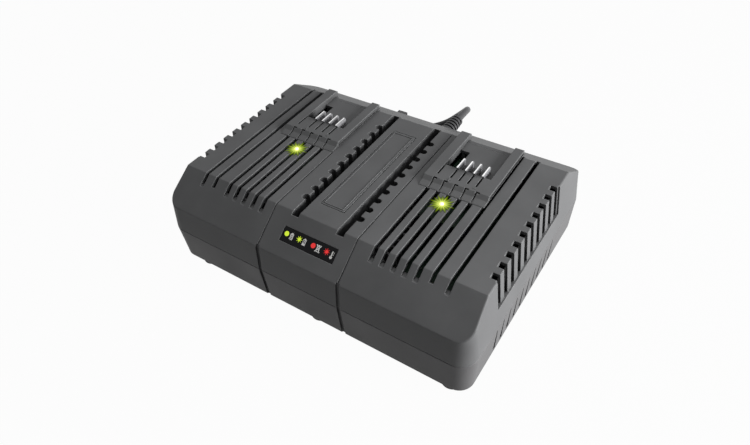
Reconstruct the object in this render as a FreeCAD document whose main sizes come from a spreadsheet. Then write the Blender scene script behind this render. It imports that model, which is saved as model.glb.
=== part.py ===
import FreeCAD, Part
import math
import os
import re
import Sketcher

os.makedirs("parts", exist_ok=True)

# A two-bay battery charger: a low box of two plastic shells on rubber feet. X runs across the two bays,
# Y from the front to the rear, Z up. The origin is on the table under the middle of the box. Millimetres.

doc = FreeCAD.newDocument("BatteryCharger")
sheet = doc.addObject("Spreadsheet::Sheet", "Sizes")

SIZES = {
    # casing
    "body_width": 242.4,
    "body_depth": 179.0,
    "corner_radius": 12.0,
    "draft_angle": 5.9,
    "lower_draft_angle": 3.0,
    "foot_height": 4.0,
    "parting_height": 32.0,
    "wall_top_height": 52.6,
    "deck_height": 70.6,
    "front_crease_inset": 27.3,
    "rear_crease_inset": 30.6,
    "wall_thickness": 2.4,
    "edge_round": 1.2,
    "seam_chamfer": 0.35,
    "fit_gap": 0.15,
    # lines and grooves on the casing
    "left_line_place": -34.3,
    "right_line_place": 30.1,
    "line_width": 0.8,
    "line_depth": 0.7,
    "front_groove_width": 3.0,
    "front_groove_depth": 1.2,
    # slots of one bay, measured from the middle of the bay
    "bay_inset": 62.05,
    "vent_pitch": 7.75,
    "vent_width": 3.2,
    "vent_front_inset": 19.0,
    "long_slot_width": 2.9,
    "long_slot_over": 3.1,
    "slot_over_cut": 0.6,
    # battery dock of one bay
    "dock_left": 22.9,
    "dock_right": 24.8,
    "dock_length": 59.4,
    "dock_overhang": 3.9,
    "ramp_foot_run": 5.0,
    "ramp_foot_rise": 1.4,
    "ramp_run": 8.0,
    "dock_rise": 3.8,
    "dock_edge_break": 1.2,
    "dock_edge_drop": 0.8,
    "dock_hole_inset": 2.0,
    "dock_hole_start": 5.5,
    "dock_hole_end": 2.9,
    "dock_plug_depth": 2.4,
    "recess_left": 15.6,
    "recess_right": 18.3,
    "recess_start": 23.0,
    "undercut_depth": 1.0,
    "undercut_foot": 0.2,
    "rail_lip": 0.8,
    "blade_first": -5.5,
    "blade_pitch": 6.15,
    "blade_thickness": 0.9,
    "blade_start": 21.3,
    "blade_length": 12.2,
    "blade_rise": 6.0,
    "blade_tail": 6.0,
    "blade_heel": 7.6,
    "blade_edge_break": 1.2,
    "blade_slot_width": 1.3,
    "blade_slot_start": 12.2,
    "blade_slot_depth": 6.0,
    "side_slot_width": 1.2,
    "side_slot_depth": 3.4,
    "pocket_width": 7.2,
    "pocket_start": 25.5,
    "pocket_length": 21.2,
    "hook_width": 0.9,
    "hook_reach": 2.4,
    "hook_arm": 1.0,
    "hook_over": 0.4,
    "bay_light_gap": 9.5,
    # middle channels
    "channel_inner": 14.8,
    "channel_outer": 20.5,
    "channel_front_inset": 25.0,
    "channel_over": 2.0,
    "channel_depth": 14.0,
    "notch_reach": 24.5,
    "notch_pitch": 9.84,
    "notch_front": 47.3,
    "notch_width": 4.6,
    "plate_half_width": 9.0,
    "plate_front": 47.5,
    "plate_rear": 42.6,
    "plate_thickness": 1.4,
    "plate_gap": 0.45,
    # side louvres
    "louvre_bottom": 47.0,
    "louvre_front": 51.5,
    "louvre_rear": 42.5,
    "louvre_first": 47.9,
    "louvre_pitch": 9.6,
    "louvre_width": 4.7,
    "louvre_inset": 1.2,
    "louvre_reach": 3.0,
    "low_slot_first": 51.3,
    "low_slot_pitch": 9.75,
    "low_slot_top_width": 0.9,
    "low_slot_foot_width": 3.2,
    "low_slot_bottom": 7.5,
    "low_slot_top": 28.0,
    # display on the front slope
    "window_half_width": 21.0,
    "window_length": 9.8,
    "window_inset": 14.4,
    "window_thickness": 1.6,
    "window_ledge": 1.5,
    "lamp_height": 4.6,
    "light_radius": 1.5,
    "light_pitch": 11.0,
    # boards
    "board_thickness": 1.6,
    "main_board_height": 17.0,
    "main_board_left_inset": 17.2,
    "main_board_right_inset": 39.2,
    "main_board_side_inset": 31.5,
    "contact_board_drop": 9.6,
    "contact_board_lead": 15.5,
    "contact_board_half_width": 17.0,
    "board_screw_inset": 5.0,
    "contact_post_inset": 9.9,
    "contact_board_end": 4.9,
    "contact_post_radius": 2.5,
    "contact_screw_inset": 3.0,
    # fasteners
    "post_radius": 4.4,
    "post_outer_inset": 34.0,
    "post_middle": 28.0,
    "post_row_inset": 16.5,
    "screw_radius": 1.5,
    "screw_head_radius": 3.1,
    "screw_head_height": 2.2,
    "screw_seat_height": 20.0,
    "screw_length": 22.0,
    "screw_clearance": 0.3,
    "pilot_clearance": 0.04,
    "small_screw_radius": 1.2,
    "small_hole_clearance": 0.2,
    "small_head_radius": 2.3,
    "small_head_height": 1.6,
    "small_screw_length": 7.0,
    # feet
    "foot_radius": 7.5,
    "foot_left_inset": 23.2,
    "foot_middle_place": 5.0,
    "foot_right_inset": 15.2,
    "foot_row_inset": 10.6,
    "foot_seat_depth": 0.8,
    # transformer
    "core_width": 40.0,
    "core_depth": 16.0,
    "core_height": 30.0,
    "core_limb": 6.0,
    "core_middle_limb": 10.0,
    "core_place_x": -30.0,
    "core_place_y": 4.0,
    "bobbin_depth": 31.0,
    # round parts on the main board
    "mains_cap_radius": 9.0,
    "mains_cap_height": 32.0,
    "mains_cap_inset": 18.0,
    "mains_cap_side_inset": 34.0,
    "mains_cap_pitch": 20.0,
    "output_cap_radius": 5.0,
    "output_cap_height": 22.0,
    "output_cap_inset": 56.0,
    "output_cap_y": 20.0,
    "output_cap_pitch": 12.0,
    "crimp_radius": 0.6,
    "crimp_height": 3.0,
    "choke_radius": 10.5,
    "choke_bore": 4.5,
    "choke_height": 10.0,
    "choke_inset": 30.0,
    "choke_side_inset": 12.0,
    "fuse_length": 22.0,
    "fuse_radius": 2.6,
    "fuse_rise": 4.5,
    "fuse_clip_width": 4.0,
    "fuse_clip_inset": 1.0,
    "fuse_x": -38.0,
    "fuse_side_inset": 14.0,
    # heat sinks
    "sink_length": 56.0,
    "sink_height": 30.0,
    "sink_plate": 3.0,
    "sink_fin": 1.6,
    "sink_fin_reach": 12.0,
    "sink_fin_pitch": 6.75,
    "input_sink_inset": 32.0,
    "output_sink_inset": 52.0,
    "sink_y": -26.0,
    "transistor_width": 10.0,
    "transistor_depth": 4.5,
    "transistor_height": 15.0,
    "transistor_rise": 9.0,
    "transistor_spread": 14.0,
    "leg_pitch": 2.54,
    "leg_half_width": 0.5,
    "leg_half_depth": 0.4,
    "leg_overlap": 1.0,
    # fan
    "fan_size": 50.0,
    "fan_depth": 15.0,
    "fan_wall_gap": 12.0,
    "fan_rim": 1.5,
    "fan_hub_radius": 10.5,
    "fan_tip_gap": 1.3,
    "fan_shaft_radius": 1.5,
    "fan_shaft_gap": 0.05,
    "fan_shaft_end": 1.5,
    "fan_strut_width": 4.0,
    "fan_back_depth": 2.5,
    "fan_screw_inset": 4.5,
    "fan_cheek_height": 16.0,
    "fan_cheek_thickness": 2.4,
    "rotor_gap": 0.6,
    "rotor_end_gap": 1.0,
    "rotor_blade_thickness": 1.4,
    "rotor_blade_width": 11.0,
    "rotor_blade_slant": 35.0,
    # cord
    "cord_diameter": 5.6,
    "cord_exit_x": 8.5,
    "cord_exit_z": 45.0,
    "relief_length": 21.0,
    "relief_base_radius": 6.2,
    "relief_tip_radius": 4.6,
    "relief_neck_radius": 4.6,
    "relief_flange_radius": 5.8,
    "relief_flange_thickness": 2.0,
    "relief_inner_gap": 0.8,
    "relief_outer_gap": 0.7,
    "rib_depth": 0.9,
    "rib_width": 1.8,
    "clamp_width": 18.0,
    "clamp_depth": 7.0,
    "clamp_height": 5.5,
    "clamp_inset": 14.0,
    "clamp_screw_inset": 3.0,
    "clamp_clearance": 0.05,
    "clamp_squeeze": 0.3,
    "clamp_screw_length": 10.5,
    # hank of cord behind the casing
    "hank_x": -62.0,
    "hank_gap": 27.0,
    "hank_step": 6.4,
    "hank_fold_radius": 23.2,
    "hank_waist": 4.0,
    "hank_half_length": 44.0,
    "hank_waist_half": 13.0,
    "hank_corner_inset": 10.0,
    "hank_layer_rise": 6.1,
    "hank_lead_in": 2.5,
    "hank_lead_out": 2.0,
    "hank_bend": 90.0,
    "hank_waist_bend": 60.0,
    "tie_width": 9.0,
    "tie_thickness": 0.8,
    "tie_clearance": 0.1,
    # plug
    "plug_length": 32.0,
    "plug_width": 25.0,
    "plug_height": 19.5,
    "plug_x": 50.0,
    "plug_gap": 16.5,
    "plug_nose_radius": 5.0,
    "plug_nose_length": 14.0,
    "plug_round": 3.0,
    "pin_length": 17.5,
    "pin_width": 6.3,
    "pin_thickness": 1.5,
    "pin_spacing": 12.7,
    # cord end inside the casing
    "sheath_lead": 6.0,
    "lead_reach": 16.0,
    "lead_bend": 6.0,
    "lead_offset": 1.4,
    "lead_radius": 1.0,
}

BAY_COUNT_OF_VENTS = 5
BLADES = ("positive", "thermal", "data", "negative")
NOTCH_COUNT = 10
LOUVRE_COUNT = 10
FIN_COUNT = 9
LIGHT_COUNT = 4
RIB_COUNT = 5
ROTOR_BLADE_COUNT = 7

for row, (alias, size) in enumerate(SIZES.items(), 1):
    sheet.set("A%d" % row, alias)
    sheet.set("B%d" % row, str(size))
    sheet.setAlias("B%d" % row, alias)
doc.recompute()

# Places that follow from the sizes: each is a sum of size names, used by name in the shapes below.
PLACES = {
    "front_top": "(body_depth / 2 - tan(draft_angle * 1 deg) * (wall_top_height - parting_height))",
    "front_crease": "(body_depth / 2 - front_crease_inset)",
    "rear_crease": "(body_depth / 2 - rear_crease_inset)",
    "front_slope": "((deck_height - wall_top_height) / (front_top - front_crease))",
    "rear_slope": "((deck_height - wall_top_height) / (front_top - rear_crease))",
    "slope_tilt": "atan((deck_height - wall_top_height) / (front_top - front_crease))",
    "slope_skin": "(wall_thickness * 1.2)",
    "ceiling_height": "(deck_height - wall_thickness)",
    "floor_height": "(foot_height + wall_thickness)",
    "top_wall_lean": "(tan(draft_angle * 1 deg) * (deck_height - parting_height))",
    "top_wall_inside": "(body_width / 2 - top_wall_lean - wall_thickness)",
    "bay_place": "(body_width / 2 - bay_inset)",
    "vent_front": "(body_depth / 2 - vent_front_inset)",
    "long_slot_rear": "(rear_crease + long_slot_over)",
    "channel_front": "(body_depth / 2 - channel_front_inset)",
    "channel_rear": "(rear_crease + channel_over)",
    "window_middle": "(body_depth / 2 - window_inset)",
    "window_height": "(wall_top_height + (front_top - window_middle) * front_slope)",
    "main_board_left": "(body_width / 2 - main_board_left_inset)",
    "main_board_right": "(body_width / 2 - main_board_right_inset)",
    "main_board_half_depth": "(body_depth / 2 - main_board_side_inset)",
    "main_board_top": "(main_board_height + board_thickness)",
    "post_outer": "(body_width / 2 - post_outer_inset)",
    "post_row_place": "(body_depth / 2 - post_row_inset)",
    "foot_left_place": "(foot_left_inset - body_width / 2)",
    "foot_right_place": "(body_width / 2 - foot_right_inset)",
    "foot_row_place": "(body_depth / 2 - foot_row_inset)",
    "dock_top": "(deck_height + dock_rise)",
    "dock_front": "(rear_crease - dock_length)",
    "dock_rear": "(rear_crease + dock_overhang)",
    "dock_back_foot": "(deck_height - rear_slope * (dock_rear - rear_crease))",
    "ramp_rear": "(dock_front + ramp_run)",
    "dock_hole_front": "(dock_front + dock_hole_start)",
    "dock_hole_rear": "(rear_crease - dock_hole_end)",
    "recess_front": "(dock_front + recess_start)",
    "blade_front": "(dock_front + blade_start)",
    "blade_rear": "(blade_front + blade_length)",
    "blade_top": "(deck_height + blade_rise)",
    "blade_slot_front": "(dock_front + blade_slot_start)",
    "pocket_front": "(dock_front + pocket_start)",
    "pocket_rear": "(pocket_front + pocket_length)",
    "bay_light_place": "(dock_front - bay_light_gap)",
    "contact_board_top": "(deck_height - contact_board_drop)",
    "contact_board_front": "(dock_front - contact_board_lead)",
    "contact_board_rear": "(rear_crease - contact_board_end)",
    "contact_post_place": "(rear_crease - contact_post_inset)",
    "mains_cap_x": "(mains_cap_inset - main_board_left)",
    "mains_cap_y": "(main_board_half_depth - mains_cap_side_inset)",
    "choke_x": "(choke_inset - main_board_left)",
    "choke_y": "(main_board_half_depth - choke_side_inset)",
    "fuse_y": "(main_board_half_depth - fuse_side_inset)",
    "output_cap_x": "(main_board_right - output_cap_inset)",
    "input_sink_x": "(input_sink_inset - main_board_left)",
    "output_sink_x": "(main_board_right - output_sink_inset)",
    "fan_outer_place": "(body_width / 2 - fan_wall_gap)",
    "fan_back": "(fan_outer_place - fan_depth)",
    "fan_middle_height": "((floor_height + ceiling_height) / 2)",
    "fan_bore_radius": "(fan_size / 2 - fan_rim)",
    "fan_screw_place": "(fan_size / 2 - fan_screw_inset)",
    "rotor_start": "(fan_back + fan_back_depth + rotor_gap)",
    "rotor_length": "(fan_depth - fan_back_depth - rotor_gap - rotor_end_gap)",
    "cord_radius": "(cord_diameter / 2)",
    "rear_wall_at_cord": "(body_depth / 2 - tan(draft_angle * 1 deg) * (cord_exit_z - parting_height))",
    "flange_place": "(rear_wall_at_cord - wall_thickness - relief_flange_thickness - relief_inner_gap)",
    "relief_start": "(rear_wall_at_cord + relief_outer_gap)",
    "relief_end": "(relief_start + relief_length)",
    "clamp_place": "(body_depth / 2 - clamp_inset)",
    "hank_y": "(body_depth / 2 + hank_gap)",
    "plug_y": "(body_depth / 2 + plug_gap)",
}


def words_of(text):
    """Write out a sum of size and place names so that it reads the sheet."""
    text, before = str(text), ""
    while text != before:
        before = text
        text = re.sub(r"\b[a-z]+(?:_[a-z]+)+\b", lambda one: PLACES.get(one.group(0), one.group(0)), before)
    return re.sub(r"\b([a-z]+(?:_[a-z]+)+)\b", r"Sizes.\1", text)


def worth(text):
    """The present value of a sum of size and place names."""
    answer = sheet.evalExpression(words_of(text))
    return float(getattr(answer, "Value", answer))


def tie(thing, prop, text):
    """Bind a property to a sum of size and place names."""
    thing.setExpression(prop, words_of(text))


# Simple solids

def box(name, left, right, front, rear, bottom, top):
    """A box between six places."""
    made = doc.addObject("Part::Box", name)
    tie(made, "Length", "%s - (%s)" % (right, left))
    tie(made, "Width", "%s - (%s)" % (rear, front))
    tie(made, "Height", "%s - (%s)" % (top, bottom))
    tie(made, "Placement.Base.x", left)
    tie(made, "Placement.Base.y", front)
    tie(made, "Placement.Base.z", bottom)
    return made


TURNS = {"Z": FreeCAD.Rotation(), "X": FreeCAD.Rotation(FreeCAD.Vector(0, 1, 0), 90)}
TURNS["Y"] = FreeCAD.Rotation(FreeCAD.Vector(1, 0, 0), -90)


def placed(made, x, y, z, along="Z"):
    """Put a solid at a place, with its own axis along X, Y or Z."""
    made.Placement = FreeCAD.Placement(FreeCAD.Vector(), TURNS[along])
    tie(made, "Placement.Base.x", x)
    tie(made, "Placement.Base.y", y)
    tie(made, "Placement.Base.z", z)
    return made


def rod(name, x, y, z, radius, length, along="Z"):
    """A cylinder from a place along an axis."""
    made = doc.addObject("Part::Cylinder", name)
    tie(made, "Radius", radius)
    tie(made, "Height", length)
    return placed(made, x, y, z, along)


def cone(name, x, y, z, start_radius, end_radius, length, along="Z"):
    """A cone from a place along an axis."""
    made = doc.addObject("Part::Cone", name)
    tie(made, "Radius1", start_radius)
    tie(made, "Radius2", end_radius)
    tie(made, "Height", length)
    return placed(made, x, y, z, along)


def together(name, solids):
    """Several separate solids as one group."""
    made = doc.addObject("Part::Compound", name)
    made.Links = solids
    return made


def joined(name, solids):
    made = doc.addObject("Part::MultiFuse", name)
    made.Shapes = solids
    made.Refine = True
    return made


def less(name, base, tools):
    """A solid with tools cut away. The tools of one call don't overlap each other."""
    made = doc.addObject("Part::Cut", name)
    made.Base = base
    made.Tool = tools[0] if len(tools) == 1 else together(name + "_tools", tools)
    return made


# Sketched solids

def plane_of(body, role):
    return next(one for one in body.Origin.OriginFeatures if one.Role == role)


def sketch_on(body, role, name):
    sketch = body.newObject("Sketcher::SketchObject", name)
    sketch.AttachmentSupport = (plane_of(body, role), [""])
    sketch.MapMode = "FlatFace"
    return sketch


def set_out(sketch, points):
    """Add a closed outline whose corners are tied to sums of size and place names."""
    first = sketch.GeometryCount
    spots = [FreeCAD.Vector(worth(across), worth(along), 0) for across, along in points]
    count = len(spots)
    for number in range(count):
        sketch.addGeometry(Part.LineSegment(spots[number], spots[(number + 1) % count]), False)
    for number in range(count):
        after = first + (number + 1) % count
        sketch.addConstraint(Sketcher.Constraint("Coincident", first + number, 2, after, 1))
    for number, (across, along) in enumerate(points):
        spot = spots[number]
        for kind, text, value, axis in (("DistanceX", across, spot.x, -2), ("DistanceY", along, spot.y, -1)):
            if abs(value) < 1e-9:
                sketch.addConstraint(Sketcher.Constraint("PointOnObject", first + number, 1, axis))
                continue
            index = sketch.addConstraint(Sketcher.Constraint(kind, -1, 1, first + number, 1, value))
            tie(sketch, "Constraints[%d]" % index, text)


def prism(name, role, points, start, end):
    """A solid of constant section: an outline on an origin plane, drawn out from start to end."""
    body = doc.addObject("PartDesign::Body", name)
    sketch = sketch_on(body, role, name + "_section")
    tie(sketch, "AttachmentOffset.Base.z", start)
    set_out(sketch, points)
    pad = body.newObject("PartDesign::Pad", name + "_length")
    pad.Profile = sketch
    tie(pad, "Length", "%s - (%s)" % (end, start))
    return body


def rounded_outline(sketch, half_width, half_depth, radius):
    """A rectangle about the origin with round corners, tied to three sums of names."""
    wide, deep, bend = worth(half_width), worth(half_depth), worth(radius)
    for across, along, turn in ((1, 1, 0), (-1, 1, 90), (-1, -1, 180), (1, -1, 270)):
        centre = FreeCAD.Vector(across * (wide - bend), along * (deep - bend), 0)
        circle = Part.Circle(centre, FreeCAD.Vector(0, 0, 1), bend)
        sketch.addGeometry(Part.ArcOfCircle(circle, math.radians(turn), math.radians(turn + 90)), False)
    for number in range(4):
        start = sketch.getPoint(number, 2)
        finish = sketch.getPoint((number + 1) % 4, 1)
        sketch.addGeometry(Part.LineSegment(start, finish), False)
    for number in range(4):
        sketch.addConstraint(Sketcher.Constraint("Tangent", number, 2, 4 + number, 1))
        sketch.addConstraint(Sketcher.Constraint("Tangent", 4 + number, 2, (number + 1) % 4, 1))
        sketch.addConstraint(Sketcher.Constraint("Vertical" if number % 2 else "Horizontal", 4 + number))
    for number in range(3):
        sketch.addConstraint(Sketcher.Constraint("Equal", number, number + 1))
    index = sketch.addConstraint(Sketcher.Constraint("Radius", 0, bend))
    tie(sketch, "Constraints[%d]" % index, radius)
    for kind, whole, half in (("DistanceX", wide, half_width), ("DistanceY", deep, half_depth)):
        index = sketch.addConstraint(Sketcher.Constraint(kind, 2, 3, 0, 3, 2 * (whole - bend)))
        tie(sketch, "Constraints[%d]" % index, "2 * (%s - (%s))" % (half, radius))
        index = sketch.addConstraint(Sketcher.Constraint(kind, -1, 1, 0, 3, whole - bend))
        tie(sketch, "Constraints[%d]" % index, "%s - (%s)" % (half, radius))


def slope_outline(end, crease, slope, drop):
    """The triangle above a slope of the casing, seen from the side, as far as past both ends."""
    over = "12"
    sign = "-1" if end == "front" else "1"
    far = "%s * (front_top + %s)" % (sign, over)
    near = "%s * (%s - %s)" % (sign, crease, over)
    low = "wall_top_height - (%s) - %s * %s" % (drop, over, slope)
    high = "deck_height - (%s) + %s * %s" % (drop, over, slope)
    return ((far, low), (near, high), (far, high))


def shell_form(name, inset, top, drop, smooth):
    """The upper half of the casing, solid, set in from the outer face by inset."""
    body = doc.addObject("PartDesign::Body", name)
    plan = sketch_on(body, "XY_Plane", name + "_plan")
    tie(plan, "AttachmentOffset.Base.z", "parting_height")
    half = ("body_width / 2 - " + inset, "body_depth / 2 - " + inset, "corner_radius - " + inset)
    rounded_outline(plan, *half)
    walls = body.newObject("PartDesign::Pad", name + "_walls")
    walls.Profile = plan
    tie(walls, "Length", "%s - parting_height" % top)
    tie(walls, "TaperAngle", "-draft_angle")
    side = sketch_on(body, "YZ_Plane", name + "_side")
    set_out(side, slope_outline("front", "front_crease", "front_slope", drop))
    set_out(side, slope_outline("rear", "rear_crease", "rear_slope", drop))
    slopes = body.newObject("PartDesign::Pocket", name + "_slopes")
    slopes.Profile = side
    slopes.Midplane = True
    tie(slopes, "Length", "body_width * 2")
    if smooth:
        doc.recompute()
        shape = body.Shape
        upper = [face for face in shape.Faces if face.normalAt(0, 0).z > 0.5]
        rims = []
        for number, edge in enumerate(shape.Edges, 1):
            if any(edge.isSame(other) for face in upper for other in face.Edges):
                rims.append("Edge%d" % number)
        rounds = body.newObject("PartDesign::Fillet", name + "_rounds")
        rounds.Base = (slopes, rims)
        tie(rounds, "Radius", "edge_round")
        doc.recompute()
        seam = []
        for number, edge in enumerate(body.Shape.Edges, 1):
            if abs(edge.BoundBox.ZMax - worth("parting_height")) < 0.01:
                seam.append("Edge%d" % number)
        bevel = body.newObject("PartDesign::Chamfer", name + "_seam")
        bevel.Base = (rounds, seam)
        tie(bevel, "Size", "seam_chamfer")
    return body


def tray_form(name, inset, bottom, smooth):
    """The lower half of the casing, solid, set in from the outer face by inset."""
    body = doc.addObject("PartDesign::Body", name)
    plan = sketch_on(body, "XY_Plane", name + "_plan")
    tie(plan, "AttachmentOffset.Base.z", "parting_height")
    half = ("body_width / 2 - " + inset, "body_depth / 2 - " + inset, "corner_radius - " + inset)
    rounded_outline(plan, *half)
    walls = body.newObject("PartDesign::Pad", name + "_walls")
    walls.Profile = plan
    walls.Reversed = True
    tie(walls, "Length", "parting_height - %s" % bottom)
    tie(walls, "TaperAngle", "-lower_draft_angle")
    if smooth:
        doc.recompute()
        rims = []
        for number, edge in enumerate(body.Shape.Edges, 1):
            if abs(edge.BoundBox.ZMax - worth(bottom)) < 0.01:
                rims.append("Edge%d" % number)
        rounds = body.newObject("PartDesign::Fillet", name + "_rounds")
        rounds.Base = (walls, rims)
        tie(rounds, "Radius", "edge_round")
        doc.recompute()
        seam = []
        for number, edge in enumerate(body.Shape.Edges, 1):
            if abs(edge.BoundBox.ZMin - worth("parting_height")) < 0.01:
                seam.append("Edge%d" % number)
        bevel = body.newObject("PartDesign::Chamfer", name + "_seam")
        bevel.Base = (rounds, seam)
        tie(bevel, "Size", "seam_chamfer")
    return body


nodes = []


def piece(made, label):
    """Take a finished solid as a sub-part of that name."""
    made.Label = label
    nodes.append(made)
    return made


def both(name, function):
    """One thing made on the right (1) and on the left (-1)."""
    return [function("%s_%s" % (name, "left" if side < 0 else "right"), side) for side in (-1, 1)]


def side_box(name, side, inner, outer, front, rear, bottom, top):
    """A box whose X places are distances from the middle, on one side."""
    if side > 0:
        return box(name, inner, outer, front, rear, bottom, top)
    return box(name, "-(%s)" % outer, "-(%s)" % inner, front, rear, bottom, top)


POSTS = [(x, y) for x in ("-post_outer", "-post_middle", "post_outer")
         for y in ("-post_row_place", "post_row_place")]
CONTACT_POSTS = ("-(contact_board_half_width - contact_screw_inset)",
                 "(contact_board_half_width - contact_screw_inset)")

# Top housing: the upper shell with its vents, channels, louvres and the holes for what it carries

outer_top = shell_form("top_outer", "0", "deck_height", "0", True)
inner_top = shell_form("top_inner", "wall_thickness", "ceiling_height", "slope_skin", False)

tubs = both("channel_tub", lambda name, side: side_box(
    name, side, "channel_inner - wall_thickness", "notch_reach + wall_thickness",
    "-(channel_front + wall_thickness)", "channel_rear + wall_thickness",
    "deck_height - channel_depth - wall_thickness", "deck_height + 1"))
top_posts = [rod("top_post_%d" % n, x, y, "parting_height - 1", "post_radius", "deck_height - parting_height")
             for n, (x, y) in enumerate(POSTS)]
top_room = less("top_room", inner_top, tubs + top_posts)
top_blank = less("top_blank", outer_top, [top_room])

vents = []
for side in (-1, 1):
    for number in range(BAY_COUNT_OF_VENTS):
        middle = "%d * bay_place + %d * vent_pitch" % (side, number - 2)
        vents.append(box("vent_%d_%d" % (side + 1, number), middle + " - vent_width / 2",
                         middle + " + vent_width / 2", "-(vent_front + slot_over_cut)", "dock_front",
                         "deck_height - (vent_front - front_crease) * front_slope", "deck_height + 1"))

# Long slots: the bay, the distance from its middle, the inset of the front end, and how much deeper it is cut
LONG_SLOTS = ((-1, -37.85, 18.9, 0), (-1, -28.25, 21.7, 2), (1, 24.75, 22.5, 2), (1, 35.95, 19.7, 0))
for number, (side, away, inset, deeper) in enumerate(LONG_SLOTS):
    middle = "%d * bay_place + (%s)" % (side, away)
    front = "(body_depth / 2 - %s)" % inset
    foot = "deck_height - (%s - front_crease) * front_slope - %s" % (front, deeper)
    vents.append(box("long_slot_%d" % number, middle + " - long_slot_width / 2",
                     middle + " + long_slot_width / 2", "-(%s + slot_over_cut)" % front, "long_slot_rear",
                     foot, "deck_height + 1"))
light_holes = [rod("bay_light_hole_%d" % n, "%d * bay_place" % s, "bay_light_place", "contact_board_top",
                   "light_radius + fit_gap", "contact_board_drop + 1") for n, s in ((0, -1), (1, 1))]

channels = both("channel", lambda name, side: side_box(
    name, side, "channel_inner", "channel_outer", "-channel_front", "channel_rear",
    "deck_height - channel_depth", "deck_height + 1"))
notches = []
for side in (-1, 1):
    for number in range(NOTCH_COUNT):
        middle = "-notch_front + %d * notch_pitch" % number
        name = "notch_%d_%d" % (side + 1, number)
        slot = side_box(name + "_slot", side, "channel_outer - 1", "notch_reach - notch_width / 2",
                        middle + " - notch_width / 2", middle + " + notch_width / 2",
                        "deck_height - channel_depth + 1", "deck_height + 1")
        end = rod(name + "_end", "%d * (notch_reach - notch_width / 2)" % side, middle,
                  "deck_height - channel_depth + 1", "notch_width / 2", "channel_depth")
        notches.append(joined(name, [slot, end]))

plate_seat = box("plate_seat", "-(plate_half_width + plate_gap)", "plate_half_width + plate_gap",
                 "-(plate_front + plate_gap)", "plate_rear + plate_gap",
                 "deck_height - plate_thickness", "deck_height + 1")
dock_holes = [box("dock_hole_%d" % (s + 1), "%d * bay_place - dock_left + dock_hole_inset" % s,
                  "%d * bay_place + dock_right - dock_hole_inset" % s, "dock_hole_front", "dock_hole_rear",
                  "ceiling_height - 1", "deck_height + 1") for s in (-1, 1)]


def line_groove(name, middle, rear):
    """A fine line on the front slope and the deck."""
    low = "wall_top_height - 3 * front_slope - line_depth * 1.2"
    outline = (("-(front_top + 3)", low), ("-front_crease", "deck_height - line_depth"),
               (rear, "deck_height - line_depth"), (rear, "deck_height + 2"),
               ("-(front_top + 3)", "deck_height + 2"))
    return prism(name, "YZ_Plane", outline, middle + " - line_width / 2", middle + " + line_width / 2")


lines = [line_groove("left_line", "left_line_place", "dock_front"),
         line_groove("right_line", "right_line_place", "rear_crease + 1")]


def front_groove(name, middle):
    """A groove down the tapered front wall of both shells."""
    inner = "front_groove_depth - body_depth / 2"
    top_in = "front_groove_depth - front_top + 0.2"
    low_in = inner + " + tan(lower_draft_angle * 1 deg) * (parting_height - foot_height + 1)"
    outline = (("-(body_depth / 2 + 2)", "foot_height - 1"), (low_in, "foot_height - 1"),
               (inner, "parting_height"), (top_in, "wall_top_height + 2"),
               ("-(body_depth / 2 + 2)", "wall_top_height + 2"))
    return prism(name, "YZ_Plane", outline, middle + " - front_groove_width / 2",
                 middle + " + front_groove_width / 2")


grooves = [front_groove("left_front_groove", "left_line_place"),
           front_groove("right_front_groove", "right_line_place")]

louvres = []
for side in (-1, 1):
    for number in range(LOUVRE_COUNT):
        middle = "-louvre_first + %d * louvre_pitch" % number
        louvres.append(side_box("louvre_%d_%d" % (side + 1, number), side, "top_wall_inside - louvre_reach",
                                "body_width / 2 + 2", middle + " - louvre_width / 2",
                                middle + " + louvre_width / 2", "louvre_bottom", "deck_height + 1"))


def louvre_band(name, side):
    """The shallow recess that the louvre fins stand in."""
    rise = "tan(draft_angle * 1 deg) * (louvre_bottom - parting_height)"
    low_x = "%d * (body_width / 2 - %s - louvre_inset)" % (side, rise)
    top_x = "%d * (top_wall_inside + wall_thickness - louvre_inset)" % side
    far = "%d * (body_width / 2 + 2)" % side
    outline = ((low_x, "louvre_bottom"), (far, "louvre_bottom"), (far, "deck_height + 1"),
               (top_x, "deck_height + 1"))
    return prism(name, "XZ_Plane", outline, "-louvre_rear", "louvre_front")


bands = both("louvre_band", louvre_band)


def tilted(name, half_width, half_length, depth, rise):
    """A flat box that lies in the front slope about the display, from depth below it to rise above it."""
    def spot(along, up):
        return ("-window_middle + (%s) * cos(slope_tilt) - (%s) * sin(slope_tilt)" % (along, up),
                "window_height + (%s) * sin(slope_tilt) + (%s) * cos(slope_tilt)" % (along, up))
    low, high = "-(%s)" % half_length, half_length
    outline = (spot(low, "-(%s)" % depth), spot(high, "-(%s)" % depth), spot(high, rise), spot(low, rise))
    return prism(name, "YZ_Plane", outline, "-(%s)" % half_width, half_width)


window_hole = tilted("window_hole", "window_half_width + fit_gap", "window_length / 2 + fit_gap",
                     "window_thickness", "2")
window_through = tilted("window_through", "window_half_width - window_ledge",
                        "window_length / 2 - window_ledge", "window_thickness * 5", "0")
gland_hole = rod("gland_hole", "cord_exit_x", "flange_place", "cord_exit_z", "relief_neck_radius + fit_gap",
                 "relief_length", "Y")
top_pilots = [rod("top_pilot_%d" % n, x, y, "parting_height - 1", "screw_radius + pilot_clearance",
                  "screw_length - (parting_height - screw_seat_height) + 2") for n, (x, y) in enumerate(POSTS)]

top_slotted = less("top_slotted", top_blank, vents + channels + louvres)
top_holed = less("top_holed", top_slotted,
                 light_holes + notches + dock_holes + bands + [window_hole, plate_seat])
top_lined = less("top_housing_solid", top_holed,
                 lines + grooves + [window_through, gland_hole] + top_pilots)
piece(top_lined, "top_housing")

# Bottom housing: the lower shell with its posts for the screws, the boards, the fan and the cord

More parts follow.
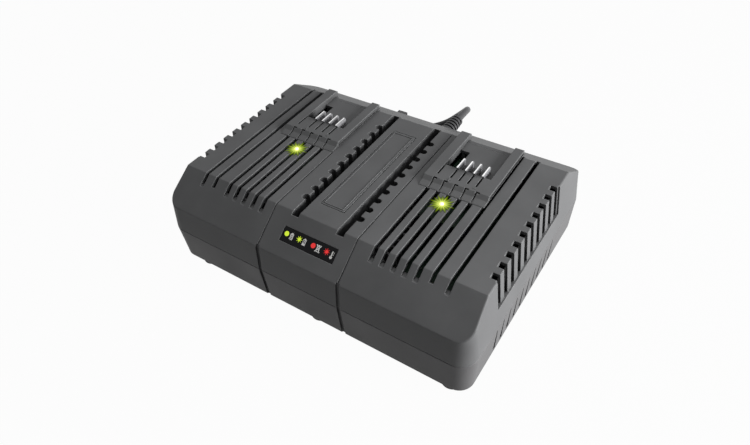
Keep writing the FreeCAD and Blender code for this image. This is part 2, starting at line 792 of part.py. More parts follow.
outer_bottom = tray_form("bottom_outer", "0", "foot_height", True)
inner_bottom = tray_form("bottom_inner", "wall_thickness", "floor_height", False)
bottom_posts = [rod("bottom_post_%d" % n, x, y, "foot_height + 1", "post_radius",
                    "parting_height - foot_height - 1") for n, (x, y) in enumerate(POSTS)]
board_post_row = "main_board_half_depth - board_screw_inset"
BOARD_POSTS = [(x, y) for x in ("-main_board_left + board_screw_inset", "main_board_right - board_screw_inset")
               for y in ("-(%s)" % board_post_row, board_post_row)]
board_posts = [rod("board_post_%d" % n, x, y, "foot_height + 1", "post_radius - 1",
                   "main_board_height - foot_height - 1") for n, (x, y) in enumerate(BOARD_POSTS)]
cord_post = box("cord_post", "cord_exit_x - clamp_width / 2", "cord_exit_x + clamp_width / 2", "clamp_place",
                "clamp_place + clamp_depth", "foot_height + 1", "cord_exit_z - clamp_squeeze")
fan_post = box("fan_post", "fan_back", "fan_outer_place", "-fan_size / 2", "fan_size / 2", "foot_height + 1",
               "fan_middle_height - fan_size / 2")
cheek_inner, cheek_outer = "fan_size / 2 + fit_gap", "fan_size / 2 + fit_gap + fan_cheek_thickness"
fan_cheeks = [box("fan_cheek_%d" % n, "fan_back", "fan_outer_place", near, far, "foot_height + 1",
                  "fan_middle_height - fan_size / 2 + fan_cheek_height")
              for n, (near, far) in enumerate((("-(%s)" % cheek_outer, "-(%s)" % cheek_inner),
                                               (cheek_inner, cheek_outer)))]
bottom_blank = less("bottom_blank", outer_bottom, [inner_bottom])
bottom_whole = joined("bottom_whole", [bottom_blank] + bottom_posts + board_posts + fan_cheeks
                      + [cord_post, fan_post])

low_slots = []
for side in (-1, 1):
    for number in range(LOUVRE_COUNT):
        middle = "-low_slot_first + %d * low_slot_pitch" % number
        outline = ((middle + " - low_slot_foot_width / 2", "low_slot_bottom"),
                   (middle + " + low_slot_foot_width / 2", "low_slot_bottom"),
                   (middle + " + low_slot_top_width / 2", "low_slot_top"),
                   (middle + " - low_slot_top_width / 2", "low_slot_top"))
        ends = ("body_width / 2 - 8", "body_width / 2 + 2")
        if side < 0:
            ends = ("-(body_width / 2 + 2)", "-(body_width / 2 - 8)")
        low_slots.append(prism("low_slot_%d_%d" % (side + 1, number), "YZ_Plane", outline, *ends))
head_holes = [rod("head_hole_%d" % n, x, y, "foot_height - 1", "screw_head_radius + screw_clearance",
                  "screw_seat_height - foot_height + 1") for n, (x, y) in enumerate(POSTS)]
shank_holes = [rod("shank_hole_%d" % n, x, y, "screw_seat_height - 1", "screw_radius + screw_clearance",
                   "parting_height - screw_seat_height + 3") for n, (x, y) in enumerate(POSTS)]
board_pilots = [rod("board_pilot_%d" % n, x, y, "main_board_top - small_screw_length - 0.5",
                    "small_screw_radius + pilot_clearance", "small_screw_length + 2")
                for n, (x, y) in enumerate(BOARD_POSTS)]
CLAMP_SCREWS = ("cord_exit_x - clamp_width / 2 + clamp_screw_inset",
                "cord_exit_x + clamp_width / 2 - clamp_screw_inset")
clamp_pilots = [rod("clamp_pilot_%d" % n, x, "clamp_place + clamp_depth / 2",
                    "cord_exit_z + clamp_height - clamp_screw_length - 1",
                    "small_screw_radius + pilot_clearance", "clamp_screw_length")
                for n, x in enumerate(CLAMP_SCREWS)]
cord_way = rod("cord_way", "cord_exit_x", "clamp_place - 1", "cord_exit_z", "cord_radius + clamp_clearance",
               "clamp_depth + 2", "Y")
FEET = [(x, y) for x in ("foot_left_place", "foot_middle_place", "foot_right_place")
        for y in ("-foot_row_place", "foot_row_place")]
foot_seats = [rod("foot_seat_%d" % n, x, y, "foot_height - 1", "foot_radius + fit_gap", "foot_seat_depth + 1")
              for n, (x, y) in enumerate(FEET)]
bottom_cut = less("bottom_cut", bottom_whole, low_slots + head_holes + grooves[:1])
bottom_drilled = less("bottom_housing_solid", bottom_cut,
                      shank_holes + board_pilots + clamp_pilots + [cord_way, grooves[1]] + foot_seats)
piece(bottom_drilled, "bottom_housing")

# Rubber feet and screws

feet = [rod("foot_%d" % n, x, y, "0", "foot_radius", "foot_height + foot_seat_depth")
        for n, (x, y) in enumerate(FEET)]
piece(together("feet_group", feet), "rubber_feet")


def screw(name, x, y, seat, radius, length, head_radius, head_height, head_up):
    """A pan-head screw: the head seats at seat, and the shank runs down from it, or up."""
    if head_up:
        shank = rod(name + "_shank", x, y, "%s - (%s)" % (seat, length), radius, length)
        head = cone(name + "_head", x, y, seat, head_radius, "%s * 0.8" % head_radius, head_height)
    else:
        shank = rod(name + "_shank", x, y, seat, radius, length)
        head = cone(name + "_head", x, y, "%s - %s" % (seat, head_height), "%s * 0.8" % head_radius,
                    head_radius, head_height)
    return joined(name, [shank, head])


CASE_SCREW = ("screw_radius", "screw_length", "screw_head_radius", "screw_head_height")
SMALL_SCREW = ("small_screw_radius", "small_screw_length", "small_head_radius", "small_head_height")
housing_screws = [screw("housing_screw_%d" % n, x, y, "screw_seat_height", *CASE_SCREW, False)
                  for n, (x, y) in enumerate(POSTS)]
piece(together("housing_screw_group", housing_screws), "housing_screws")
board_screws = [screw("board_screw_%d" % n, x, y, "main_board_top", *SMALL_SCREW, True)
                for n, (x, y) in enumerate(BOARD_POSTS)]
piece(together("board_screw_group", board_screws), "board_screws")

# Name plate: a bare plate let into the strip between the channels

piece(box("plate", "-plate_half_width", "plate_half_width", "-plate_front", "plate_rear",
          "deck_height - plate_thickness", "deck_height"), "name_plate")

# Battery docks: a ramped block on each bay with a recess for the contacts


def dock(label, side):
    """The dock block, contacts, contact board and light of the bay on one side."""
    mid = "%d * bay_place" % side
    left, right = mid + " - dock_left", mid + " + dock_right"
    outline = (("dock_front", "deck_height"), ("rear_crease", "deck_height"), ("dock_rear", "dock_back_foot"),
               ("dock_rear", "dock_top - dock_edge_drop"), ("dock_rear - dock_edge_break", "dock_top"),
               ("ramp_rear", "dock_top"), ("dock_front + ramp_foot_run", "deck_height + ramp_foot_rise"))
    block = prism(label + "_block", "YZ_Plane", outline, left, right)
    plug = box(label + "_plug", left + " + dock_hole_inset + fit_gap", right + " - dock_hole_inset - fit_gap",
               "dock_hole_front + fit_gap", "dock_hole_rear - fit_gap", "deck_height - dock_plug_depth",
               "deck_height + 1")
    posts = [rod("%s_post_%d" % (label, n), mid + " + " + x, "contact_post_place", "contact_board_top",
                 "contact_post_radius", "deck_height - contact_board_top") for n, x in enumerate(CONTACT_POSTS)]
    pilots = [rod("%s_pilot_%d" % (label, n), mid + " + " + x, "contact_post_place", "contact_board_top - 1",
                  "small_screw_radius + pilot_clearance", "small_screw_length")
              for n, x in enumerate(CONTACT_POSTS)]
    whole = joined(label + "_whole", [block, plug] + posts)
    recess_left, recess_right = mid + " - recess_left", mid + " + recess_right"
    tools = [
        box(label + "_recess", recess_left, recess_right, "recess_front", "rear_crease", "deck_height",
            "dock_top + 2"),
        box(label + "_recess_exit", recess_left, recess_right, "rear_crease", "dock_rear + 2",
            "dock_back_foot - 4", "dock_top + 2"),
        box(label + "_under_left", left + " - 1", left + " + undercut_depth", "ramp_rear", "dock_rear + 1",
            "deck_height + undercut_foot", "dock_top - rail_lip"),
        box(label + "_under_right", right + " - undercut_depth", right + " + 1", "ramp_rear", "dock_rear + 1",
            "deck_height + undercut_foot", "dock_top - rail_lip"),
        box(label + "_side_slot", recess_left, recess_left + " + side_slot_width", "blade_slot_front",
            "recess_front", "dock_top - side_slot_depth", "dock_top + 2"),
    ]
    deep = [box(label + "_pocket", recess_left, recess_left + " + pocket_width", "pocket_front", "pocket_rear",
                "deck_height - blade_slot_depth", "dock_top + 2")]
    floor_slots = []
    for number in range(len(BLADES)):
        middle = mid + " + blade_first + %d * blade_pitch" % number
        deep.append(box("%s_slot_%d" % (label, number), middle + " - blade_slot_width / 2",
                        middle + " + blade_slot_width / 2", "blade_slot_front", "recess_front",
                        "deck_height - blade_slot_depth", "dock_top + 2"))
        floor_slots.append(box("%s_floor_slot_%d" % (label, number),
                               middle + " - blade_thickness / 2 - fit_gap",
                               middle + " + blade_thickness / 2 + fit_gap", "recess_front",
                               "blade_rear + fit_gap", "deck_height - blade_slot_depth", "dock_top + 2"))
    for number in range(BAY_COUNT_OF_VENTS):
        stem = mid + " + %d * vent_pitch" % (number - 2)
        back, arm = "ramp_rear + hook_over", "ramp_rear + hook_over - hook_arm"
        near, far = stem + " - hook_width / 2", stem + " + hook_width / 2"
        outline = ((near, "dock_front - 1"), (far, "dock_front - 1"), (far, arm), (stem + " + hook_reach", arm),
                   (stem + " + hook_reach", back), (near, back))
        deep.append(prism("%s_hook_%d" % (label, number), "XY_Plane", outline,
                          "deck_height - dock_plug_depth - 1", "dock_top + 2"))
    hollow = less(label + "_hollow", whole, tools + pilots)
    slotted = less(label + "_slotted", hollow, deep)
    piece(less(label + "_solid", slotted, floor_slots), label + "_dock_block")

    for number, job in enumerate(BLADES):
        middle = mid + " + blade_first + %d * blade_pitch" % number
        outline = (("blade_front", "blade_top"), ("blade_rear - blade_edge_break", "blade_top"),
                   ("blade_rear", "blade_top - blade_edge_break"), ("blade_rear", "contact_board_top"),
                   ("blade_rear - blade_tail", "contact_board_top"),
                   ("blade_rear - blade_tail", "blade_top - blade_heel"))
        piece(prism("%s_%s" % (label, job), "YZ_Plane", outline, middle + " - blade_thickness / 2",
                    middle + " + blade_thickness / 2"), "%s_%s_blade" % (label, job))

    board = box(label + "_board", mid + " - contact_board_half_width", mid + " + contact_board_half_width",
                "contact_board_front", "contact_board_rear", "contact_board_top - board_thickness",
                "contact_board_top")
    screw_holes = [rod("%s_screw_hole_%d" % (label, n), mid + " + " + x, "contact_post_place",
                       "contact_board_top - board_thickness - 1", "small_screw_radius + small_hole_clearance",
                       "board_thickness + 2")
                   for n, x in enumerate(CONTACT_POSTS)]
    piece(less(label + "_board_solid", board, screw_holes), label + "_contact_board")
    guide = rod(label + "_guide", mid, "bay_light_place", "contact_board_top", "light_radius",
                "contact_board_drop")
    dome = doc.addObject("Part::Sphere", label + "_dome")
    tie(dome, "Radius", "light_radius")
    placed(dome, mid, "bay_light_place", "deck_height")
    piece(joined(label + "_light", [guide, dome]), label + "_bay_light")


dock("left", -1)
dock("right", 1)
contact_screws = []
for side in (-1, 1):
    for number, x in enumerate(CONTACT_POSTS):
        contact_screws.append(screw("contact_screw_%d_%d" % (side + 1, number),
                                    "%d * bay_place + %s" % (side, x), "contact_post_place",
                                    "contact_board_top - board_thickness", *SMALL_SCREW, False))
piece(together("contact_screw_group", contact_screws), "contact_screws")

# Display: a dark window in the front slope, with its lights on a small board behind it

piece(tilted("window", "window_half_width", "window_length / 2", "window_thickness", "0"), "legend_window")
display_board = tilted("display_board", "window_half_width - window_ledge * 1.5",
                       "window_length / 2 - window_ledge * 1.5",
                       "window_thickness + lamp_height + board_thickness", "-(window_thickness + lamp_height)")
piece(display_board, "indicator_board")
lamps = []
for number in range(LIGHT_COUNT):
    middle = "%s * light_pitch" % (number - (LIGHT_COUNT - 1) / 2)
    lamp = doc.addObject("Part::Cylinder", "lamp_%d" % number)
    tie(lamp, "Radius", "light_radius")
    tie(lamp, "Height", "lamp_height")
    lamp.Placement = FreeCAD.Placement(FreeCAD.Vector(), FreeCAD.Rotation(FreeCAD.Vector(1, 0, 0), 1))
    tie(lamp, "Placement.Rotation.Angle", "slope_tilt")
    tie(lamp, "Placement.Base.x", middle)
    tie(lamp, "Placement.Base.y", "-window_middle + (window_thickness + lamp_height) * sin(slope_tilt)")
    tie(lamp, "Placement.Base.z", "window_height - (window_thickness + lamp_height) * cos(slope_tilt)")
    lamps.append(lamp)
piece(together("lamp_group", lamps), "status_lights")

# Main board and what stands on it

main_board = box("main_board", "-main_board_left", "main_board_right", "-main_board_half_depth",
                 "main_board_half_depth", "main_board_height", "main_board_top")
board_holes = [rod("board_hole_%d" % n, x, y, "main_board_height - 1",
                   "small_screw_radius + small_hole_clearance", "board_thickness + 2")
               for n, (x, y) in enumerate(BOARD_POSTS)]
piece(less("main_board_solid", main_board, board_holes), "main_circuit_board")

core_block = box("core_block", "core_place_x - core_width / 2", "core_place_x + core_width / 2",
                 "core_place_y - core_depth / 2", "core_place_y + core_depth / 2", "main_board_top",
                 "main_board_top + core_height")
core_windows = [
    box("core_window_%d" % n, "core_place_x " + inner, "core_place_x " + outer, "core_place_y - core_depth",
        "core_place_y + core_depth", "main_board_top + core_limb", "main_board_top + core_height - core_limb")
    for n, (inner, outer) in enumerate((("- core_width / 2 + core_limb", "- core_middle_limb / 2"),
                                        ("+ core_middle_limb / 2", "+ core_width / 2 - core_limb")))]
piece(less("core_solid", core_block, core_windows), "transformer_core")
winding = box("winding", "core_place_x - core_width / 2 + core_limb + fit_gap",
              "core_place_x + core_width / 2 - core_limb - fit_gap", "core_place_y - bobbin_depth / 2",
              "core_place_y + bobbin_depth / 2", "main_board_top + core_limb + fit_gap",
              "main_board_top + core_height - core_limb - fit_gap")
limb_hole = box("limb_hole", "core_place_x - core_middle_limb / 2 - fit_gap",
                "core_place_x + core_middle_limb / 2 + fit_gap", "core_place_y - core_depth / 2 - fit_gap",
                "core_place_y + core_depth / 2 + fit_gap", "main_board_top", "main_board_top + core_height")
winding_ends = [box("winding_end_%d" % n, "core_place_x - core_width / 2 + core_limb",
                    "core_place_x + core_width / 2 - core_limb", "core_place_y " + near, "core_place_y " + far,
                    "main_board_top", "main_board_top + core_limb + 1")
                for n, (near, far) in enumerate((("- bobbin_depth / 2", "- core_depth / 2 - fit_gap"),
                                                 ("+ core_depth / 2 + fit_gap", "+ bobbin_depth / 2")))]
wound = less("wound", winding, [limb_hole])
piece(joined("bobbin_solid", [wound] + winding_ends), "transformer_bobbin")


def can(name, x, y, radius, height):
    """An electrolytic capacitor with its crimp near the foot."""
    body = rod(name + "_can", x, y, "main_board_top", radius, height)
    ring = doc.addObject("Part::Torus", name + "_crimp")
    tie(ring, "Radius1", radius)
    tie(ring, "Radius2", "crimp_radius")
    placed(ring, x, y, "main_board_top + crimp_height")
    return less(name, body, [ring])


mains_caps = [can("mains_cap_%d" % n, "mains_cap_x + %d * mains_cap_pitch" % n, "mains_cap_y",
                  "mains_cap_radius", "mains_cap_height") for n in range(2)]
piece(together("mains_cap_group", mains_caps), "mains_capacitors")
output_caps = [can("output_cap_%d" % n, "output_cap_x + %d * output_cap_pitch" % n, "output_cap_y",
                   "output_cap_radius", "output_cap_height") for n in range(4)]
piece(together("output_cap_group", output_caps), "output_capacitors")
choke_ring = rod("choke_ring", "choke_x", "choke_y", "main_board_top", "choke_radius", "choke_height")
choke_bore = rod("choke_hole", "choke_x", "choke_y", "main_board_top - 1", "choke_bore", "choke_height + 2")
piece(less("choke_solid", choke_ring, [choke_bore]), "line_filter_choke")
fuse_tube = rod("fuse_tube", "fuse_x - fuse_length / 2", "fuse_y", "main_board_top + fuse_rise", "fuse_radius",
                "fuse_length", "X")
CLIPS = ("fuse_x - fuse_length / 2 + fuse_clip_inset",
         "fuse_x + fuse_length / 2 - fuse_clip_inset - fuse_clip_width")
fuse_clips = [box("fuse_clip_%d" % n, x, x + " + fuse_clip_width", "fuse_y - fuse_clip_width / 2",
                  "fuse_y + fuse_clip_width / 2", "main_board_top", "main_board_top + fuse_rise")
              for n, x in enumerate(CLIPS)]
piece(joined("fuse_solid", [fuse_tube] + fuse_clips), "mains_fuse")


def heat_sink(label, place_x, fins_to):
    """A finned plate that stands on the main board, fins to +X (1) or -X (-1)."""
    plate = box(label + "_plate", place_x + " - sink_plate / 2", place_x + " + sink_plate / 2",
                "sink_y - sink_length / 2", "sink_y + sink_length / 2", "main_board_top",
                "main_board_top + sink_height")
    fins = []
    for number in range(FIN_COUNT):
        start = "sink_y - sink_length / 2 + %d * sink_fin_pitch" % number
        near, far = place_x, "%s + %d * sink_fin_reach" % (place_x, fins_to)
        ends = (near, far) if fins_to > 0 else (far, near)
        fins.append(box("%s_fin_%d" % (label, number), ends[0], ends[1], start, start + " + sink_fin",
                        "main_board_top", "main_board_top + sink_height"))
    piece(joined(label + "_solid", [plate] + fins), label)


heat_sink("input_heat_sink", "input_sink_x", -1)
heat_sink("output_heat_sink", "output_sink_x", 1)
transistors = []
TRANSISTORS = [(place, turn, spread) for place, turn in (("input_sink_x", 1), ("output_sink_x", -1))
               for spread in ("-transistor_spread", "transistor_spread")]
for number, (place, turn, along) in enumerate(TRANSISTORS):
    face = "%s + %d * sink_plate / 2" % (place, turn)
    back = "%s + %d * (sink_plate / 2 + transistor_depth)" % (place, turn)
    ends = (face, back) if turn > 0 else (back, face)
    middle_y = "sink_y + (%s)" % along
    case = box("transistor_%d_case" % number, ends[0], ends[1], middle_y + " - transistor_width / 2",
               middle_y + " + transistor_width / 2", "main_board_top + transistor_rise",
               "main_board_top + transistor_rise + transistor_height")
    middle_x = "%s + %d * (sink_plate / 2 + transistor_depth / 2)" % (place, turn)
    legs = [box("transistor_%d_leg_%d" % (number, n), middle_x + " - leg_half_depth",
                middle_x + " + leg_half_depth", middle_y + " + %d * leg_pitch - leg_half_width" % n,
                middle_y + " + %d * leg_pitch + leg_half_width" % n, "main_board_top",
                "main_board_top + transistor_rise + leg_overlap") for n in (-1, 0, 1)]
    transistors.append(joined("transistor_%d" % number, [case] + legs))
piece(together("transistor_group", transistors), "power_transistors")

# Cooling fan behind the right-hand louvres, its axle along X

fan_block = box("fan_block", "fan_back", "fan_outer_place", "-fan_size / 2", "fan_size / 2",
                "fan_middle_height - fan_size / 2", "fan_middle_height + fan_size / 2")
fan_bore = rod("fan_bore", "fan_back - 1", "0", "fan_middle_height", "fan_bore_radius", "fan_depth + 2", "X")
fan_ring = less("fan_ring", fan_block, [fan_bore])
strut_end = "fan_back + fan_back_depth"
struts = [box("fan_strut_flat", "fan_back", strut_end, "-fan_bore_radius - 1", "fan_bore_radius + 1",
              "fan_middle_height - fan_strut_width / 2", "fan_middle_height + fan_strut_width / 2"),
          box("fan_strut_tall", "fan_back", strut_end, "-fan_strut_width / 2", "fan_strut_width / 2",
              "fan_middle_height - fan_bore_radius - 1", "fan_middle_height + fan_bore_radius + 1"),
          rod("fan_seat", "fan_back", "0", "fan_middle_height", "fan_hub_radius - 1", "fan_back_depth", "X"),
          rod("fan_axle", "fan_back", "0", "fan_middle_height", "fan_shaft_radius",
              "fan_depth - fan_shaft_end", "X")]
fan_whole = joined("fan_whole", [fan_ring] + struts)
both_ways = ("-fan_screw_place", "fan_screw_place")
FAN_SCREWS = [(y, z) for y in both_ways for z in both_ways]
fan_holes = [rod("fan_hole_%d" % n, "fan_back - 1", y, "fan_middle_height + " + z,
                 "small_screw_radius + screw_clearance", "fan_depth + 2", "X")
             for n, (y, z) in enumerate(FAN_SCREWS)]
piece(less("fan_frame_solid", fan_whole, fan_holes), "fan_frame")
hub = rod("rotor_hub", "rotor_start", "0", "fan_middle_height", "fan_hub_radius", "rotor_length", "X")
centre = FreeCAD.Vector(worth("rotor_start + rotor_length / 2"), 0, worth("fan_middle_height"))
corner = FreeCAD.Vector(-worth("rotor_blade_thickness") / 2, -worth("rotor_blade_width") / 2, 0)
slant = FreeCAD.Rotation(FreeCAD.Vector(0, 0, 1), worth("rotor_blade_slant"))
blades = []
for number in range(ROTOR_BLADE_COUNT):
    turn = FreeCAD.Rotation(FreeCAD.Vector(1, 0, 0), number * 360.0 / ROTOR_BLADE_COUNT)
    blade = doc.addObject("Part::Box", "rotor_blade_%d" % number)
    tie(blade, "Length", "rotor_blade_thickness")
    tie(blade, "Width", "rotor_blade_width")
    tie(blade, "Height", "fan_bore_radius - fan_tip_gap")
    turned = FreeCAD.Placement(centre, turn).multiply(FreeCAD.Placement(FreeCAD.Vector(), slant))
    blade.Placement = turned.multiply(FreeCAD.Placement(corner, FreeCAD.Rotation()))
    blades.append(blade)
rotor_whole = joined("rotor_whole", [hub] + blades)
rotor_bore = rod("rotor_bore", "rotor_start - 1", "0", "fan_middle_height", "fan_shaft_radius + fan_shaft_gap",
                 "rotor_length + 2", "X")
piece(less("rotor_solid", rotor_whole, [rotor_bore]), "fan_rotor")

# Cord: the ribbed strain relief in the rear wall and the clamp inside

flange = rod("relief_flange", "cord_exit_x", "flange_place", "cord_exit_z", "relief_flange_radius",
             "relief_flange_thickness", "Y")
neck = rod("relief_neck", "cord_exit_x", "flange_place", "cord_exit_z", "relief_neck_radius",
           "relief_start - flange_place + 1", "Y")
collar = cone("relief_collar", "cord_exit_x", "relief_start", "cord_exit_z", "relief_base_radius",
              "relief_tip_radius", "relief_length", "Y")
relief_rings = []
for number in range(RIB_COUNT):
    place = "relief_end - %d * 2 * rib_width" % (RIB_COUNT - number)
    tube = rod("relief_band_%d" % number, "cord_exit_x", place, "cord_exit_z", "relief_base_radius + 2",
               "rib_width", "Y")
    keep = rod("relief_core_%d" % number, "cord_exit_x", place + " - 1", "cord_exit_z",
               "relief_tip_radius - rib_depth", "rib_width + 2", "Y")
    relief_rings.append(less("relief_groove_%d" % number, tube, [keep]))
relief_whole = joined("relief_whole", [flange, neck, collar])
piece(less("relief_solid", relief_whole, relief_rings), "strain_relief")

clamp_bar = box("clamp_bar", "cord_exit_x - clamp_width / 2", "cord_exit_x + clamp_width / 2", "clamp_place",
                "clamp_place + clamp_depth", "cord_exit_z", "cord_exit_z + clamp_height")
clamp_way = rod("clamp_way", "cord_exit_x", "clamp_place - 1", "cord_exit_z", "cord_radius + clamp_clearance",
                "clamp_depth + 2", "Y")
clamp_holes = [rod("clamp_hole_%d" % n, x, "clamp_place + clamp_depth / 2", "cord_exit_z - 1",
                   "small_screw_radius + small_hole_clearance", "clamp_height + 2")
               for n, x in enumerate(CLAMP_SCREWS)]
piece(less("clamp_solid", clamp_bar, [clamp_way] + clamp_holes), "cord_clamp")
clamp_screws = [screw("clamp_screw_%d" % n, x, "clamp_place + clamp_depth / 2", "cord_exit_z + clamp_height",
                      "small_screw_radius", "clamp_screw_length", "small_head_radius", "small_head_height",
                      True)
                for n, x in enumerate(CLAMP_SCREWS)]
piece(together("clamp_screw_group", clamp_screws), "cord_clamp_screws")

doc.recompute()

# Cord: tubes along routes of straight runs joined by tangent arcs


def path_wire(points, bends):
    """Straight runs through the points, joined by arcs of the given radii at the inner points."""
    edges, last, radii = [], points[0], []
    for number in range(1, len(points) - 1):
        before, here, after = points[number - 1], points[number], points[number + 1]
        into, out = (before - here), (after - here)
        into.normalize()
        out.normalize()
        half = (math.pi - into.getAngle(out)) / 2
        bend = bends[number - 1]
        if bend is None:
            bend = 0.45 * min((here - before).Length, (after - here).Length) / math.tan(half)
        reach = bend * math.tan(half)
        start, end = here + into * reach, here + out * reach
        middle_way = into + out
        middle_way.normalize()
        middle = here + middle_way * (bend / math.cos(half) - bend)
        if (start - last).Length > 0.001:
            edges.append(Part.LineSegment(last, start).toShape())
        edges.append(Part.Arc(start, middle, end).toShape())
        last = end
        radii.append(round(bend, 1))
    edges.append(Part.LineSegment(last, points[-1]).toShape())
    return Part.Wire(edges), radii


def tube_along(name, points, bends=None):
    """A round tube of the cord's diameter along a route, its volume compared with section times length."""
    wire, radii = path_wire(points, bends or [None] * (len(points) - 2))
    radius = worth("cord_radius")
    start = points[1] - points[0]
    ring = Part.Wire([Part.Circle(points[0], start, radius).toShape()])
    solid = wire.makePipeShell([ring], True, False)
    ideal = math.pi * radius ** 2 * wire.Length
    print(name, "length", round(wire.Length, 1), "radii", radii, "volume ratio", round(solid.Volume / ideal, 5))
    made = doc.addObject("Part::Feature", name + "_tube")
    made.Shape = solid
    return made, wire


def least_gap(name, wire, near):
    """Print the least gap of a tube to itself, on points along its middle line."""
    count = int(wire.Length / 1.5)
    spots = wire.discretize(Number=count)
    step = wire.Length / (count - 1)
    apart = int(near / step) + 1
    least = min((spots[a] - spots[b]).Length for a in range(count) for b in range(a + apart, count))
    print(name, "least gap to itself", round(least - worth("cord_diameter"), 3))


def stepped(start, steps):
    """Places given by their steps away from one place."""
    return [start + FreeCAD.Vector(*step) for step in steps]


exit_x, exit_z = worth("cord_exit_x"), worth("cord_exit_z")
cord_low = worth("cord_radius")
hank_x, hank_y = worth("hank_x"), worth("hank_y")
fold, step, waist = worth("hank_fold_radius"), worth("hank_step"), worth("hank_waist")
half_run, half_waist, rise = worth("hank_half_length"), worth("hank_waist_half"), worth("hank_layer_rise")
hank_low = cord_low + worth("tie_thickness + tie_clearance / 2")
hank_start = FreeCAD.Vector(hank_x + worth("hank_lead_in"), hank_y + fold - waist, hank_low)

# The cord leaves the strain relief level, falls behind the casing and comes level again into the hank
FALL = [(0, 14.1, 0), (-4, 28.1, -7), (-15, 36.6, -21), (-28, 36.6, -34.5)]
SETTLE = [(26.5, 6.8, 0), (15, 1.5, 0), (7.5, 0, 0)]
cord_exit = FreeCAD.Vector(exit_x, worth("relief_end"), exit_z)
route = [cord_exit] + stepped(cord_exit, FALL) + stepped(hank_start, SETTLE) + [hank_start]
mains, _ = tube_along("mains_cord", route)
piece(mains, "mains_cord")

# The hank: long loops drawn in at the waist, two layers, each fold a half turn
left, right = hank_x - half_run, hank_x + half_run
wide_bend, waist_bend = worth("hank_bend"), worth("hank_waist_bend")


def run(y_from_middle, z_start, z_end, heading):
    """The corners of one run of the hank, drawn in at the waist, climbing there if the heights differ."""
    outer = hank_y + y_from_middle
    inner = hank_y + y_from_middle - math.copysign(waist, y_from_middle)
    spread = half_run - worth("hank_corner_inset")
    return [((hank_x - heading * spread, outer, z_start), wide_bend),
            ((hank_x - heading * half_waist, inner, z_start), waist_bend),
            ((hank_x + heading * half_waist, inner, z_end), waist_bend),
            ((hank_x + heading * spread, outer, z_end), wide_bend)]


def fold_over(end_x, y_in, y_out, height):
    """The two corners of a half turn beyond one end of the hank."""
    radius = abs(y_in - y_out) / 2
    beyond = end_x + math.copysign(radius, end_x - hank_x)
    return [((beyond, hank_y + y_in, height), radius), ((beyond, hank_y + y_out, height), radius)]


upper = hank_low + rise
inner_fold = fold - step
corners = run(fold, hank_low, hank_low, -1)[2:]
corners += fold_over(left, fold, -fold, hank_low)
corners += run(-fold, hank_low, hank_low, 1)
corners += fold_over(right, -fold, inner_fold, hank_low)
corners += run(inner_fold, hank_low, hank_low, -1)
corners += fold_over(left, inner_fold, -inner_fold, hank_low)
corners += run(-inner_fold, hank_low, upper, 1)
corners += fold_over(right, -inner_fold, inner_fold, upper)
corners += run(inner_fold, upper, upper, -1)
corners += fold_over(left, inner_fold, -fold, upper)
corners += run(-fold, upper, upper, 1)
hank_end = FreeCAD.Vector(right + worth("hank_lead_out"), hank_y - fold, upper)
spots = [hank_start] + [FreeCAD.Vector(*spot) for spot, _ in corners] + [hank_end]
bends = [bend for _, bend in corners]
hank, hank_wire = tube_along("cord_hank", spots, bends)
least_gap("cord_hank", hank_wire, 40.0)
piece(hank, "cord_hank")

plug_nose = FreeCAD.Vector(worth("plug_x - plug_nose_length"), worth("plug_y"), worth("plug_height / 2"))
LEAD_STEPS = [(10, 0, 0), (23.5, 4.2, -1.55), (35, 10.3, -1.15)]
lead_route = [hank_end] + stepped(hank_end, LEAD_STEPS) + stepped(plug_nose, [(-8, 0, 0)]) + [plug_nose]
lead, _ = tube_along("plug_lead", lead_route)
piece(lead, "plug_lead")

# Strap round the waist of the hank
tie_half = "hank_fold_radius - hank_waist + cord_radius + tie_clearance"
tie_high = "tie_thickness * 2 + tie_clearance * 2 + cord_diameter + hank_layer_rise"
tie_outer = box("tie_outer", "hank_x - tie_width / 2", "hank_x + tie_width / 2",
                "hank_y - (%s) - tie_thickness" % tie_half, "hank_y + (%s) + tie_thickness" % tie_half, "0",
                tie_high)
tie_inner = box("tie_inner", "hank_x - tie_width", "hank_x + tie_width", "hank_y - (%s)" % tie_half,
                "hank_y + (%s)" % tie_half, "tie_thickness", "%s - tie_thickness" % tie_high)
piece(less("tie_solid", tie_outer, [tie_inner]), "cord_tie")

# Plug: a body tapered to the cord in plan and from the side, with two flat pins
nose, shoulder, face = "plug_x - plug_nose_length", "plug_x", "plug_x + plug_length"
plan = ((nose, "plug_y - plug_nose_radius"), (shoulder, "plug_y - plug_width / 2"),
        (face, "plug_y - plug_width / 2"), (face, "plug_y + plug_width / 2"),
        (shoulder, "plug_y + plug_width / 2"), (nose, "plug_y + plug_nose_radius"))
side = ((nose, "plug_height / 2 - plug_nose_radius"), (shoulder, "0"), (face, "0"), (face, "plug_height"),
        (shoulder, "plug_height"), (nose, "plug_height / 2 + plug_nose_radius"))
plug_plan = prism("plug_plan", "XY_Plane", plan, "-1", "plug_height + 1")
plug_side = prism("plug_side", "XZ_Plane", side, "-(plug_y + plug_width)", "-(plug_y - plug_width)")
plug_raw = doc.addObject("Part::Common", "plug_raw")
plug_raw.Base, plug_raw.Tool = plug_plan, plug_side
doc.recompute()
plug_body = doc.addObject("Part::Fillet", "plug_body")
plug_body.Base = plug_raw
plug_round = worth("plug_round")
long_edges = [n for n, edge in enumerate(plug_raw.Shape.Edges, 1)
              if edge.BoundBox.XLength > 1 and edge.BoundBox.XMin > worth(shoulder) - 0.01]
plug_body.Edges = [(n, plug_round, plug_round) for n in long_edges]
piece(plug_body, "mains_plug")
pins = [box("pin_%d" % n, face, face + " + pin_length", "plug_y %s pin_spacing / 2 - pin_thickness / 2" % sign,
            "plug_y %s pin_spacing / 2 + pin_thickness / 2" % sign, "plug_height / 2 - pin_width / 2",
            "plug_height / 2 + pin_width / 2") for n, sign in enumerate("-+")]
piece(together("pin_group", pins), "plug_pins")

